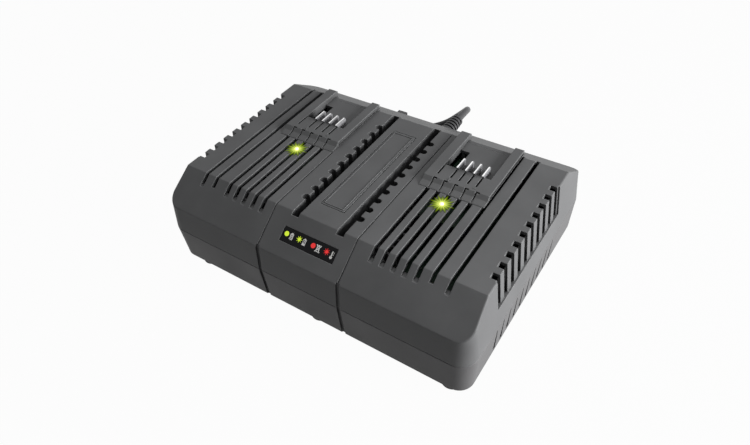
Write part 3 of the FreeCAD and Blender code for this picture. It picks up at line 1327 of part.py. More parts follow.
# Cord end inside the casing: the sheath runs through the clamp, and two leads go down to the main board
sheath_front = worth("clamp_place - sheath_lead")
sheath = Part.makeCylinder(cord_low, worth("flange_place") - sheath_front,
                           FreeCAD.Vector(exit_x, sheath_front, exit_z), FreeCAD.Vector(0, 1, 0))
lead_down = sheath_front - worth("lead_reach")
leads = []
for side in (-1, 1):
    x = exit_x + side * worth("lead_offset")
    lead_start = FreeCAD.Vector(x, sheath_front + 1, exit_z)
    lead_spots = [lead_start, FreeCAD.Vector(x, lead_down, exit_z),
                  FreeCAD.Vector(x, lead_down, worth("main_board_top"))]
    lead_wire, _ = path_wire(lead_spots, [worth("lead_bend")])
    lead_circle = Part.Circle(lead_start, FreeCAD.Vector(0, -1, 0), worth("lead_radius"))
    leads.append(lead_wire.makePipeShell([Part.Wire([lead_circle.toShape()])], True, False))
cord_end = doc.addObject("Part::Feature", "cord_end")
cord_end.Shape = sheath.fuse(leads)
piece(cord_end, "mains_leads")

doc.recompute()
for thing in doc.Objects:
    if any(word in thing.State for word in ("Invalid", "Error")):
        raise RuntimeError("not built: " + thing.Name)
for made in nodes:
    if made.Shape.isNull() or not made.Shape.isValid():
        raise RuntimeError("not valid: " + made.Label)
for made in nodes:
    made.Shape.exportStep("parts/%s.step" % made.Label)
print(len(nodes), "sub-parts")
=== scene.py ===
import math
import bpy
from mathutils import Matrix, Vector


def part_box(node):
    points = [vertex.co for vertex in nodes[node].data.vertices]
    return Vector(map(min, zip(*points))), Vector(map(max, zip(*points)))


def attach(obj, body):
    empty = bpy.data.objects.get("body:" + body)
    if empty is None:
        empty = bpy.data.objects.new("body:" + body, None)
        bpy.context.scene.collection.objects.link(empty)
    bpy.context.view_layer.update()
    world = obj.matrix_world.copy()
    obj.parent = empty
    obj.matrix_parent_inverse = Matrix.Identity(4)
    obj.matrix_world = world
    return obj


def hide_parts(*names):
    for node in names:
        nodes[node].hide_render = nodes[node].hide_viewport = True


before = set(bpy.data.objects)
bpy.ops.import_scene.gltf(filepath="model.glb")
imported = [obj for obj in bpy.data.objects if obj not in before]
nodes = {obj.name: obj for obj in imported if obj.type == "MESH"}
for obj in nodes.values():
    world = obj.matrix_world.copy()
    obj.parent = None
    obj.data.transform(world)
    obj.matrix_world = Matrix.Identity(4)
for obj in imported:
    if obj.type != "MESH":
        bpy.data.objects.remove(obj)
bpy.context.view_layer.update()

# Camera
# It stands above the front right of the charger and looks down across it, where the photograph was
# taken from.
eye = Vector((0.19302, -0.26512, 0.33521))
aim = Vector((-0.00208, 0.00010, 0.01607))
roll = math.radians(-4.521)
ahead = (aim - eye).normalized()
level = ahead.cross(Vector((0, 0, 1))).normalized()
upright = level.cross(ahead)
right = level * math.cos(roll) + upright * math.sin(roll)
above = upright * math.cos(roll) - level * math.sin(roll)
camera = bpy.data.objects.new("camera", bpy.data.cameras.new("camera"))
camera.data.sensor_width = 36.0
camera.data.lens = 29.27
camera.data.clip_start = 0.01
camera.matrix_world = Matrix((
    (right.x, above.x, -ahead.x, eye.x),
    (right.y, above.y, -ahead.y, eye.y),
    (right.z, above.z, -ahead.z, eye.z),
    (0, 0, 0, 1)))
bpy.context.scene.collection.objects.link(camera)
bpy.context.scene.camera = camera
bpy.context.scene.view_settings.view_transform = "Standard"

# Studio
# A pale floor and a white surround. One broad lamp stands low to the right, so the right wall is the
# lightest side. A soft one hangs above, and a small one near the right front corner.
floor_mesh = bpy.data.meshes.new("studio_floor")
reach = 4.0
floor_mesh.from_pydata([(-reach, -reach, 0), (reach, -reach, 0), (reach, reach, 0), (-reach, reach, 0)],
                       [], [(0, 1, 2, 3)])
floor = bpy.data.objects.new("studio_floor", floor_mesh)
bpy.context.scene.collection.objects.link(floor)


def white_seen(tree, by_camera, by_gloss):
    """How much of the plain white background a ray sees, by its kind."""
    path = tree.nodes.new("ShaderNodeLightPath")
    total = None
    for ray, share in (("Is Camera Ray", by_camera), ("Is Glossy Ray", by_gloss),
                       ("Is Transmission Ray", by_gloss)):
        part = tree.nodes.new("ShaderNodeMath")
        part.operation = "MULTIPLY_ADD"
        part.inputs[1].default_value = share
        part.inputs[2].default_value = 0.0
        tree.links.new(path.outputs[ray], part.inputs[0])
        if total:
            tree.links.new(total, part.inputs[2])
        total = part.outputs[0]
    limit = tree.nodes.new("ShaderNodeClamp")
    tree.links.new(total, limit.inputs["Value"])
    return limit.outputs[0]


paper = bpy.data.materials.new("studio_paper")
paper.use_nodes = True
tree = paper.node_tree
tree.nodes.clear()
matt = tree.nodes.new("ShaderNodeBsdfDiffuse")
matt.inputs["Color"].default_value = (0.20, 0.20, 0.20, 1)
white = tree.nodes.new("ShaderNodeEmission")
white.inputs["Color"].default_value = (1, 1, 1, 1)
blend = tree.nodes.new("ShaderNodeMixShader")
tree.links.new(white_seen(tree, 0.97, 0.85), blend.inputs["Fac"])
tree.links.new(matt.outputs[0], blend.inputs[1])
tree.links.new(white.outputs[0], blend.inputs[2])
out = tree.nodes.new("ShaderNodeOutputMaterial")
tree.links.new(blend.outputs[0], out.inputs["Surface"])
floor_mesh.materials.append(paper)

world = bpy.data.worlds.new("studio_air")
bpy.context.scene.world = world
world.use_nodes = True
tree = world.node_tree
tree.nodes.clear()
dim = tree.nodes.new("ShaderNodeBackground")
dim.inputs["Color"].default_value = (1, 1, 1, 1)
dim.inputs["Strength"].default_value = 0.09
bright = tree.nodes.new("ShaderNodeBackground")
bright.inputs["Color"].default_value = (1, 1, 1, 1)
bright.inputs["Strength"].default_value = 1.0
blend = tree.nodes.new("ShaderNodeMixShader")
tree.links.new(white_seen(tree, 1.0, 0.5), blend.inputs["Fac"])
tree.links.new(dim.outputs[0], blend.inputs[1])
tree.links.new(bright.outputs[0], blend.inputs[2])
out = tree.nodes.new("ShaderNodeOutputWorld")
tree.links.new(blend.outputs[0], out.inputs["Surface"])


def lamp(name, place, at, width, power):
    """A square soft lamp at a place, turned to a point."""
    light = bpy.data.lights.new(name, "AREA")
    light.size = width
    light.energy = power
    made = bpy.data.objects.new(name, light)
    made.location = place
    made.rotation_euler = (Vector(at) - Vector(place)).to_track_quat("-Z", "Y").to_euler()
    bpy.context.scene.collection.objects.link(made)


lamp("lamp_right", (1.05, 0.22, 0.30), (0.10, 0.0, 0.03), 0.6, 27)
lamp("lamp_above", (0.05, 0.12, 1.0), (0, 0, 0.05), 0.6, 2.9)
lamp("lamp_corner", (0.32, -0.09, 0.47), (0.09, -0.07, 0.05), 0.22, 0.62)

# Casing
# Two matt shells of filled charcoal plastic with a fine spark-eroded skin, screwed together from
# below. The dock blocks are moulded in the same plastic and clip into the upper shell.


def new_group(name, inputs, outputs):
    """An empty shader group with float or colour sockets of the given names and first values."""
    group = bpy.data.node_groups.new(name, "ShaderNodeTree")
    for label, value in inputs:
        kind = "NodeSocketColor" if isinstance(value, tuple) else "NodeSocketFloat"
        socket = group.interface.new_socket(label, in_out="INPUT", socket_type=kind)
        socket.default_value = value
    for label, kind in outputs:
        group.interface.new_socket(label, in_out="OUTPUT", socket_type=kind)
    return group, group.nodes.new("NodeGroupInput"), group.nodes.new("NodeGroupOutput")


def noise(tree, place, scale, detail=2.0):
    """A noise texture on a place, giving its factor."""
    made = tree.nodes.new("ShaderNodeTexNoise")
    tree.links.new(place, made.inputs["Vector"])
    if isinstance(scale, (int, float)):
        made.inputs["Scale"].default_value = scale
    else:
        tree.links.new(scale, made.inputs["Scale"])
    made.inputs["Detail"].default_value = detail
    return made.outputs["Fac"]


def ranged(tree, value, low, high, to_low, to_high):
    """A value mapped from one range to another."""
    made = tree.nodes.new("ShaderNodeMapRange")
    tree.links.new(value, made.inputs["Value"])
    for label, number in (("From Min", low), ("From Max", high), ("To Min", to_low), ("To Max", to_high)):
        if isinstance(number, (int, float)):
            made.inputs[label].default_value = number
        else:
            tree.links.new(number, made.inputs[label])
    return made.outputs["Result"]


def mixed(tree, factor, first, second, how="MIX"):
    """Two colours mixed by a factor."""
    made = tree.nodes.new("ShaderNodeMix")
    made.data_type = "RGBA"
    made.blend_type = how
    for label, given in (("Factor", factor), ("A", first), ("B", second)):
        socket = next(one for one in made.inputs if one.name == label and one.enabled)
        if isinstance(given, (int, float, tuple)):
            socket.default_value = given
        else:
            tree.links.new(given, socket)
    return next(one for one in made.outputs if one.enabled)


def sum_of(tree, how, first, second):
    """Two values put together by a Math node."""
    made = tree.nodes.new("ShaderNodeMath")
    made.operation = how
    for socket, given in zip(made.inputs, (first, second)):
        if isinstance(given, (int, float)):
            socket.default_value = given
        else:
            tree.links.new(given, socket)
    return made.outputs[0]


def scaled(tree, colour, factor):
    """A colour times a value."""
    made = tree.nodes.new("ShaderNodeVectorMath")
    made.operation = "SCALE"
    tree.links.new(colour, made.inputs[0])
    if isinstance(factor, (int, float)):
        made.inputs["Scale"].default_value = factor
    else:
        tree.links.new(factor, made.inputs["Scale"])
    return made.outputs[0]


# The moulded skin: fine grain, faint clouding of the colour, a painted highlight that lightens the edges,
# painted shade that darkens the hollows, and corners that read as rounded
skin, skin_in, skin_out = new_group(
    "moulded_skin",
    (("Colour", (0.1, 0.1, 0.1, 1.0)), ("Grain Scale", 2600.0), ("Cloud", 0.10), ("Painted Edge Highlight", 0.5),
     ("Dull", 0.55), ("Round", 0.0007), ("Painted Hollow Shade", 0.6)),
    (("Colour", "NodeSocketColor"), ("Roughness", "NodeSocketFloat"), ("Height", "NodeSocketFloat"),
     ("Normal", "NodeSocketVector")))
spot = skin.nodes.new("ShaderNodeTexCoord").outputs["Object"]
grain = noise(skin, spot, skin_in.outputs["Grain Scale"], 3.0)
cloud = noise(skin, spot, 34.0, 4.0)
centred = ranged(skin, cloud, 0.3, 0.7, -1.0, 1.0)
shade = sum_of(skin, "ADD", sum_of(skin, "MULTIPLY", centred, skin_in.outputs["Cloud"]), 1.0)
# Painted shade: an Ambient Occlusion probe darkens the colour in hollows, creases and channels
hollow_shade = skin.nodes.new("ShaderNodeAmbientOcclusion")
hollow_shade.samples = 6
hollow_shade.inputs["Distance"].default_value = 0.011
unshaded_share = ranged(skin, hollow_shade.outputs["AO"], 0.25, 0.80,
                    sum_of(skin, "SUBTRACT", 1.0, skin_in.outputs["Painted Hollow Shade"]), 1.0)
clouded_and_shaded = scaled(skin, skin_in.outputs["Colour"], sum_of(skin, "MULTIPLY", shade, unshaded_share))
# Painted highlight: where the Bevel normal turns away from the face, at edges, the colour is lightened up
# to 2.4 times, but not inside hollows
rounded = skin.nodes.new("ShaderNodeBevel")
rounded.samples = 4
skin.links.new(skin_in.outputs["Round"], rounded.inputs["Radius"])
plain = skin.nodes.new("ShaderNodeNewGeometry")
turned = skin.nodes.new("ShaderNodeVectorMath")
turned.operation = "DOT_PRODUCT"
skin.links.new(rounded.outputs[0], turned.inputs[0])
skin.links.new(plain.outputs["Normal"], turned.inputs[1])
edge = ranged(skin, turned.outputs["Value"], 0.99, 0.80, 0.0, skin_in.outputs["Painted Edge Highlight"])
edge = sum_of(skin, "MULTIPLY", edge, ranged(skin, hollow_shade.outputs["AO"], 0.45, 0.8, 0.0, 1.0))
coloured = mixed(skin, edge, clouded_and_shaded, scaled(skin, skin_in.outputs["Colour"], 2.4))
skin.links.new(coloured, skin_out.inputs["Colour"])
skin.links.new(sum_of(skin, "ADD", skin_in.outputs["Dull"], ranged(skin, cloud, 0.3, 0.7, -0.05, 0.05)),
               skin_out.inputs["Roughness"])
skin.links.new(grain, skin_out.inputs["Height"])
skin.links.new(rounded.outputs[0], skin_out.inputs["Normal"])


def moulded(name, colour, dull, grain_scale=2600.0, depth=0.25, painted_edge_highlight=0.5, cloud=0.10, coat=0.0,
            round_by=0.0007, painted_hollow_shade=0.6, shine=0.5):
    """A plastic or rubber finish with the moulded skin."""
    made = bpy.data.materials.new(name)
    made.use_nodes = True
    tree = made.node_tree
    shader = tree.nodes["Principled BSDF"]
    face = tree.nodes.new("ShaderNodeGroup")
    face.node_tree = skin
    for label, value in (("Colour", (*colour, 1)), ("Grain Scale", grain_scale), ("Cloud", cloud),
                         ("Painted Edge Highlight", painted_edge_highlight), ("Dull", dull), ("Round", round_by),
                         ("Painted Hollow Shade", painted_hollow_shade)):
        face.inputs[label].default_value = value
    tree.links.new(face.outputs["Colour"], shader.inputs["Base Color"])
    tree.links.new(face.outputs["Roughness"], shader.inputs["Roughness"])
    bump = tree.nodes.new("ShaderNodeBump")
    bump.inputs["Strength"].default_value = depth
    bump.inputs["Distance"].default_value = 0.00005
    tree.links.new(face.outputs["Height"], bump.inputs["Height"])
    tree.links.new(face.outputs["Normal"], bump.inputs["Normal"])
    tree.links.new(bump.outputs["Normal"], shader.inputs["Normal"])
    shader.inputs["Coat Weight"].default_value = coat
    shader.inputs["Specular IOR Level"].default_value = shine
    return made


def dress(finish, *names):
    """Give CAD nodes a finish."""
    for name in names:
        for place in nodes[name].material_slots:
            place.material = finish


casing_plastic = moulded("charcoal_casing_plastic", (0.092, 0.093, 0.095), 0.48, shine=0.25, painted_edge_highlight=0.8,
                         painted_hollow_shade=0.8)
lower_plastic = moulded("charcoal_base_plastic", (0.084, 0.083, 0.085), 0.50, shine=0.25, painted_edge_highlight=0.5,
                        painted_hollow_shade=0.8)
dress(casing_plastic, "top_housing", "left_dock_block", "right_dock_block")
dress(lower_plastic, "bottom_housing")

# Feet
# Six black rubber pads, moulded with a fine pebble and pressed into round seats in the tray, three
# along the front edge and three along the rear.
foot_rubber = moulded("foot_rubber", (0.022, 0.022, 0.023), 0.72, grain_scale=1400.0, depth=0.6,
                      painted_edge_highlight=0.2,
                      round_by=0.0012)
dress(foot_rubber, "rubber_feet")

# Screws
# Zinc-plated steel screws with pan heads: six long ones close the shells from below, and short ones
# hold the boards and the cord clamp. The plating is bright, with faint turning marks round the axis.
plated, plated_in, plated_out = new_group(
    "plated_metal",
    (("Colour", (0.6, 0.6, 0.6, 1.0)), ("Line Scale", 900.0), ("Rough", 0.3), ("Tarnish", 0.2)),
    (("Colour", "NodeSocketColor"), ("Roughness", "NodeSocketFloat"), ("Height", "NodeSocketFloat")))
spot = plated.nodes.new("ShaderNodeTexCoord").outputs["Object"]
stretch = plated.nodes.new("ShaderNodeMapping")
stretch.inputs["Scale"].default_value = (0.08, 1.0, 1.0)
plated.links.new(spot, stretch.inputs["Vector"])
lines = noise(plated, stretch.outputs[0], plated_in.outputs["Line Scale"], 2.0)
film = noise(plated, spot, 120.0, 3.0)
dulled = ranged(plated, film, 0.35, 0.75, 0.0, plated_in.outputs["Tarnish"])
plated.links.new(mixed(plated, dulled, plated_in.outputs["Colour"],
                       scaled(plated, plated_in.outputs["Colour"], 0.55)),
                 plated_out.inputs["Colour"])
plated.links.new(sum_of(plated, "ADD", plated_in.outputs["Rough"],
                        ranged(plated, lines, 0.3, 0.7, -0.06, 0.10)),
                 plated_out.inputs["Roughness"])
plated.links.new(lines, plated_out.inputs["Height"])


def metal(name, colour, rough, line_scale=900.0, tarnish=0.2, depth=0.15, solid=1.0):
    """A metal finish with drawn lines and a thin film. A frosted plating is less solid a metal."""
    made = bpy.data.materials.new(name)
    made.use_nodes = True
    tree = made.node_tree
    shader = tree.nodes["Principled BSDF"]
    face = tree.nodes.new("ShaderNodeGroup")
    face.node_tree = plated
    for label, value in (("Colour", (*colour, 1)), ("Line Scale", line_scale), ("Rough", rough),
                         ("Tarnish", tarnish)):
        face.inputs[label].default_value = value
    tree.links.new(face.outputs["Colour"], shader.inputs["Base Color"])
    tree.links.new(face.outputs["Roughness"], shader.inputs["Roughness"])
    bump = tree.nodes.new("ShaderNodeBump")
    bump.inputs["Strength"].default_value = depth
    bump.inputs["Distance"].default_value = 0.00003
    tree.links.new(face.outputs["Height"], bump.inputs["Height"])
    tree.links.new(bump.outputs["Normal"], shader.inputs["Normal"])
    shader.inputs["Metallic"].default_value = solid
    return made


zinc = metal("zinc_plated_steel", (0.62, 0.63, 0.64), 0.32)
dress(zinc, "housing_screws", "board_screws", "contact_screws", "cord_clamp_screws")

# Name plate
# A plain plate let into the strip between the channels. It is left bare but for a thin raised frame
# line round its edge, moulded with it.
plate_plastic = moulded("name_plate_plastic", (0.092, 0.093, 0.095), 0.44, grain_scale=4000.0, shine=0.25,
                        painted_edge_highlight=0.8)
dress(plate_plastic, "name_plate")
plate_low, plate_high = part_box("name_plate")
frame_inset, frame_wide, frame_rise = 0.0014, 0.0006, 0.00035
frame_points, frame_faces = [], []
for inset, rise in ((frame_inset, -0.0001), (frame_inset, frame_rise),
                    (frame_inset + frame_wide, frame_rise),
                    (frame_inset + frame_wide, -0.0001)):
    for x, y in ((plate_low[0] + inset, plate_low[1] + inset),
                 (plate_high[0] - inset, plate_low[1] + inset),
                 (plate_high[0] - inset, plate_high[1] - inset),
                 (plate_low[0] + inset, plate_high[1] - inset)):
        frame_points.append((x, y, plate_high[2] + rise))
for ring in range(3):
    for side in range(4):
        after = (side + 1) % 4
        frame_faces.append((ring * 4 + side, ring * 4 + after, ring * 4 + 4 + after, ring * 4 + 4 + side))


def plain_piece(name, points, faces, finish, body="charger"):
    """A mesh piece from points and faces, with one finish, that rides on a body."""
    mesh = bpy.data.meshes.new(name)
    mesh.from_pydata(points, [], faces)
    mesh.materials.append(finish)
    made = bpy.data.objects.new(name, mesh)
    bpy.context.scene.collection.objects.link(made)
    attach(made, body)
    return made


plain_piece("name_plate_frame", frame_points, frame_faces, plate_plastic)

# Contact blades
# Four blades in each dock, stamped from copper strip with a frosted nickel plating, so the sides are dull.
# Faces that turn upwards are painted lighter, towards white, as a painted highlight. A plus and a minus are
# moulded into the dock beside the outer two.
nickel = metal("nickel_plated_copper", (0.24, 0.24, 0.25), 0.42, line_scale=1500.0, tarnish=0.12, solid=0.3)
tree = nickel.node_tree
shader = tree.nodes["Principled BSDF"]
plating = shader.inputs["Base Color"].links[0].from_socket
# Painted highlight: the colour goes towards white where the face turns upwards
split = tree.nodes.new("ShaderNodeSeparateXYZ")
tree.links.new(tree.nodes.new("ShaderNodeNewGeometry").outputs["Normal"], split.inputs[0])
tree.links.new(mixed(tree, ranged(tree, split.outputs["Z"], 0.6, 0.9, 0.0, 1.0), plating,
                     (1.0, 1.0, 1.0, 1)),
               shader.inputs["Base Color"])
for bay in ("left", "right"):
    dress(nickel, *("%s_%s_blade" % (bay, job) for job in ("positive", "thermal", "data", "negative")))
mark_arm, mark_thick, mark_rise, mark_ahead = 0.0011, 0.0003, 0.00018, 0.0112


def raised_bar(points, faces, middle, half_x, half_y, height):
    """A low bar with its own top and sides, added to the lists of a mesh."""
    first = len(points)
    for z in (middle[2] - 0.00005, middle[2] + height):
        for x, y in ((-half_x, -half_y), (half_x, -half_y), (half_x, half_y), (-half_x, half_y)):
            points.append((middle[0] + x, middle[1] + y, z))
    for side in range(4):
        after = (side + 1) % 4
        faces.append((first + side, first + after, first + 4 + after, first + 4 + side))
    faces.append((first + 4, first + 5, first + 6, first + 7))


mark_points, mark_faces = [], []
for bay in ("left", "right"):
    for job, plus in (("positive", True), ("negative", False)):
        low, high_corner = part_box("%s_%s_blade" % (bay, job))
        block_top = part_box(bay + "_dock_block")[1][2]
        middle = ((low[0] + high_corner[0]) / 2, low[1] - mark_ahead, block_top)
        raised_bar(mark_points, mark_faces, middle, mark_arm, mark_thick, mark_rise)
        if plus:
            raised_bar(mark_points, mark_faces,
                       (middle[0], middle[1] + mark_arm * 0.65 + mark_thick, middle[2]),
                       mark_thick, mark_arm * 0.65, mark_rise)
            raised_bar(mark_points, mark_faces,
                       (middle[0], middle[1] - mark_arm * 0.65 - mark_thick, middle[2]),
                       mark_thick, mark_arm * 0.65, mark_rise)
plain_piece("contact_marks", mark_points, mark_faces, casing_plastic)

# Boards
# Glass-fibre boards with a dark green solder mask over copper tracks, and tinned pads. They are
# screwed down inside the casing, so only slivers show through the vents.
board_finish = bpy.data.materials.new("solder_mask_board")
board_finish.use_nodes = True
tree = board_finish.node_tree
shader = tree.nodes["Principled BSDF"]
spot = tree.nodes.new("ShaderNodeTexCoord").outputs["Object"]
tracks = tree.nodes.new("ShaderNodeTexBrick")
tracks.inputs["Scale"].default_value = 95.0
tracks.inputs["Mortar Size"].default_value = 0.035
tracks.inputs["Color1"].default_value = (0.004, 0.016, 0.008, 1)
tracks.inputs["Color2"].default_value = (0.005, 0.019, 0.010, 1)
tracks.inputs["Mortar"].default_value = (0.008, 0.030, 0.014, 1)
tree.links.new(spot, tracks.inputs["Vector"])
dots = tree.nodes.new("ShaderNodeTexVoronoi")
dots.inputs["Scale"].default_value = 180.0
tree.links.new(spot, dots.inputs["Vector"])
pads = ranged(tree, dots.outputs["Distance"], 0.16, 0.12, 0.0, 1.0)
tree.links.new(mixed(tree, pads, tracks.outputs["Color"], (0.12, 0.12, 0.11, 1)),
               shader.inputs["Base Color"])
tree.links.new(ranged(tree, noise(tree, spot, 400.0), 0.3, 0.7, 0.45, 0.60), shader.inputs["Roughness"])
dress(board_finish, "main_circuit_board", "left_contact_board", "right_contact_board", "indicator_board")

# Bay lights
# A clear light guide stands in each bay on its lamp. It glows yellow-green while the bay is ready. Its
# spill over the deck round it is painted light: a flat glowing star sheet lies on the deck.


def glowing(name, colour, strength, core=(1.0, 1.0, 0.75), lit_above=-1.0):
    """A lit plastic: pale in the middle, its colour at the rim, and unlit below a height."""
    made = bpy.data.materials.new(name)
    made.use_nodes = True
    tree = made.node_tree
    shader = tree.nodes["Principled BSDF"]
    spot = tree.nodes.new("ShaderNodeTexCoord").outputs["Object"]
    facing = tree.nodes.new("ShaderNodeLayerWeight")
    facing.inputs["Blend"].default_value = 0.45
    tone = mixed(tree, facing.outputs["Facing"], (*core, 1), (*colour, 1))
    flecks = ranged(tree, noise(tree, spot, 900.0), 0.3, 0.7, 0.92, 1.0)
    split = tree.nodes.new("ShaderNodeSeparateXYZ")
    tree.links.new(spot, split.inputs[0])
    tip = ranged(tree, split.outputs["Z"], lit_above, lit_above + 0.0004, 0.0, 1.0)
    tree.links.new(scaled(tree, scaled(tree, tone, flecks), tip), shader.inputs["Emission Color"])
    tree.links.new(scaled(tree, tone, flecks), shader.inputs["Base Color"])
    shader.inputs["Emission Strength"].default_value = strength
    shader.inputs["Roughness"].default_value = 0.25
    return made


lit_guide = glowing("lit_light_guide", (0.62, 0.90, 0.05), 1.6, core=(0.95, 1.0, 0.45), lit_above=0.0702)
dress(lit_guide, "left_bay_light", "right_bay_light")
glow = bpy.data.materials.new("light_spill")
glow.use_nodes = True
tree = glow.node_tree
shader = tree.nodes["Principled BSDF"]
shader.inputs["Specular IOR Level"].default_value = 0.0
shader.inputs["Roughness"].default_value = 1.0
shader.inputs["Emission Strength"].default_value = 1.0
fade = tree.nodes.new("ShaderNodeAttribute")
fade.attribute_name = "glow"
tone = mixed(tree, ranged(tree, fade.outputs["Fac"], 0.35, 0.98, 0.0, 1.0), (0.42, 0.62, 0.005, 1),
             (0.86, 0.96, 0.22, 1))
tree.links.new(tone, shader.inputs["Emission Color"])
shader.inputs["Base Color"].default_value = (0.02, 0.03, 0.0, 1)
spotted = noise(tree, tree.nodes.new("ShaderNodeTexCoord").outputs["Object"], 600.0)
tree.links.new(sum_of(tree, "MULTIPLY", fade.outputs["Fac"], ranged(tree, spotted, 0.3, 0.7, 0.88, 1.0)),
               shader.inputs["Alpha"])
# Painted pool of light: a glowing star sheet on the deck, brightest in the middle and fading along its rays
ray_count, ray_longest, ray_long, ray_short, star_sink = 16, 0.0098, 0.0084, 0.0058, 0.0012
for bay in ("left", "right"):
    low, high_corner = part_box(bay + "_bay_light")
    middle = Vector(((low[0] + high_corner[0]) / 2, (low[1] + high_corner[1]) / 2,
                     high_corner[2] - star_sink))
    points, faces, shares = [tuple(middle)], [], [1.0]
    steps = ray_count * 2
    for ring, share in ((0.34, 0.90), (0.62, 0.46), (1.0, 0.0)):
        for step in range(steps):
            angle = 2 * math.pi * step / steps
            this_ray = ray_longest if step % 4 == 0 else ray_long
            spread = (this_ray if step % 2 == 0 else ray_short) * ring
            points.append((middle.x + spread * math.cos(angle), middle.y + spread * math.sin(angle),
                           middle.z))
            shares.append(share)
    for step in range(steps):
        after = (step + 1) % steps
        faces.append((0, 1 + step, 1 + after))
        for ring in range(2):
            base = 1 + ring * steps
            faces.append((base + step, base + steps + step, base + steps + after, base + after))
    star = plain_piece(bay + "_light_spill", points, faces, glow)
    layer = star.data.attributes.new("glow", "FLOAT", "POINT")
    for number, share in enumerate(shares):
        layer.data[number].value = share

# Display
# A glossy black window let into the front slope, printed from behind. Four marks say what the lamps
# below mean: charged, charging, faulty and too hot or cold. Each lamp shows beside its mark.
window_gloss = moulded("display_window_gloss", (0.006, 0.006, 0.007), 0.10, depth=0.02, painted_edge_highlight=0.15,
                       cloud=0.05, round_by=0.0003, painted_hollow_shade=0.0, shine=0.15)
dress(window_gloss, "legend_window")
dress(glowing("indicator_lamp_lit", (0.45, 0.75, 0.03), 1.0), "status_lights")
slope = math.radians(35.57)
along_slope = Vector((0, math.cos(slope), math.sin(slope)))
off_slope = Vector((0, -math.sin(slope), math.cos(slope)))
window_middle = Vector((0, -0.0751, 0.061375))
print_white = moulded("window_print_white", (0.72, 0.72, 0.70), 0.4, depth=0.05, painted_edge_highlight=0.0, cloud=0.06,
                      painted_hollow_shade=0.0)
print_black = moulded("window_print_black", (0.008, 0.008, 0.009), 0.25, depth=0.02, painted_edge_highlight=0.0,
                      painted_hollow_shade=0.0)
print_green = glowing("window_lamp_green", (0.36, 0.50, 0.01), 0.8, core=(0.48, 0.62, 0.03))
print_red = glowing("window_lamp_red", (0.40, 0.010, 0.012), 0.8, core=(0.55, 0.02, 0.02))


def on_window(name, outlines, finish, lift=0.00004):
    """Flat marks on the window: each outline is a list of places across it and up it, in millimetres."""
    points, faces = [], []
    for outline in outlines:
        first = len(points)
        for across, up in outline:
            place = window_middle + Vector((across / 1000, 0,
                                            0)) + along_slope * (up / 1000) + off_slope * lift
            points.append(tuple(place))
        faces.append(tuple(range(first, len(points))))
    return plain_piece(name, points, faces, finish)


def disc(across, up, radius, count=28):
    """A round outline."""
    return [(across + radius * math.cos(2 * math.pi * n / count),
             up + radius * math.sin(2 * math.pi * n / count))
            for n in range(count)]


def star_of(across, up, inner, outer, rays=8):
    """A blinking mark: a small disc and separate short rays round it."""
    shapes = [disc(across, up, inner)]
    for n in range(rays):
        angle = 2 * math.pi * n / rays
        ray, aside = (math.cos(angle), math.sin(angle)), (-math.sin(angle), math.cos(angle))
        shapes.append([(across + ray[0] * r + aside[0] * w, up + ray[1] * r + aside[1] * w)
                       for r,
                       w in ((inner * 0.8, -0.20), (outer, -0.12), (outer, 0.12), (inner * 0.8, 0.20))])
    return shapes


def bar(left, low_edge, right_edge, top):
    """An upright oblong between its edges."""
    return [(left, low_edge), (right_edge, low_edge), (right_edge, top), (left, top)]


def slanted(x0, y0, x1, y1, width):
    """A straight stroke between two places."""
    run = math.hypot(x1 - x0, y1 - y0)
    side = (-(y1 - y0) / run * width / 2, (x1 - x0) / run * width / 2)
    return [(x0 - side[0], y0 - side[1]), (x1 - side[0], y1 - side[1]), (x1 + side[0], y1 + side[1]),
            (x0 + side[0], y0 + side[1])]


def cell(across, up):
    """A battery standing up: its can and its cap."""
    return [bar(across - 1.25, up - 2.2, across + 1.25, up + 1.8),
            bar(across - 0.6, up + 1.8, across + 0.6, up + 2.4)]


full_x, filling_x, fault_x, heat_x = -13.5, -3.3, 7.7, 18.2
lamp_up, mark_up, lamp_aside = 0.7, 0.2, 4.1
on_window("window_mark_charged", cell(full_x, mark_up), print_white)
on_window("window_mark_charged_lines", [bar(full_x - 0.85, mark_up + y, full_x + 0.85, mark_up + y + 0.35)
                                        for y in (-1.6, -0.6, 0.4)], print_black, 0.00007)
on_window("window_mark_charging", cell(filling_x, mark_up), print_white)
on_window("window_mark_charging_bolt",
          [bar(filling_x - 0.85, mark_up - 0.7, filling_x + 0.85, mark_up + 1.4)], print_black,
          0.00007)
on_window("window_mark_charging_flash",
          [slanted(filling_x + 0.45, mark_up + 1.25, filling_x - 0.35, mark_up + 0.25, 0.45),
           slanted(filling_x + 0.35, mark_up + 0.45, filling_x - 0.45, mark_up - 0.55, 0.45)], print_white,
          0.0001)
on_window("window_mark_fault", cell(fault_x, mark_up), print_white)
on_window("window_mark_fault_inside", [bar(fault_x - 0.8, mark_up - 1.7, fault_x + 0.8, mark_up + 1.3)],
          print_black,
          0.00007)
on_window("window_mark_fault_cross",
          [slanted(fault_x - 1.8, mark_up - 2.3, fault_x + 1.8, mark_up + 2.3, 0.55),
                                      slanted(fault_x - 1.8, mark_up + 2.3, fault_x + 1.8, mark_up - 2.3,
                                              0.55)],
          print_white, 0.0001)
on_window("window_mark_heat", [bar(heat_x - 0.4, mark_up - 1.4, heat_x + 0.4, mark_up + 2.3),
                               disc(heat_x, mark_up - 1.7, 0.95),
                               bar(heat_x + 0.75, mark_up + 1.6, heat_x + 1.5, mark_up + 1.85),
                               bar(heat_x + 0.75, mark_up + 0.8, heat_x + 1.5, mark_up + 1.05),
                               bar(heat_x + 0.75, mark_up, heat_x + 1.5, mark_up + 0.25)], print_white)
on_window("window_lamp_charged", [disc(full_x - lamp_aside, lamp_up, 1.7)], print_green)
on_window("window_lamp_charging", star_of(filling_x - lamp_aside, lamp_up, 1.1, 2.2), print_green)
on_window("window_lamp_fault", [disc(fault_x - lamp_aside, lamp_up, 1.7)], print_red)
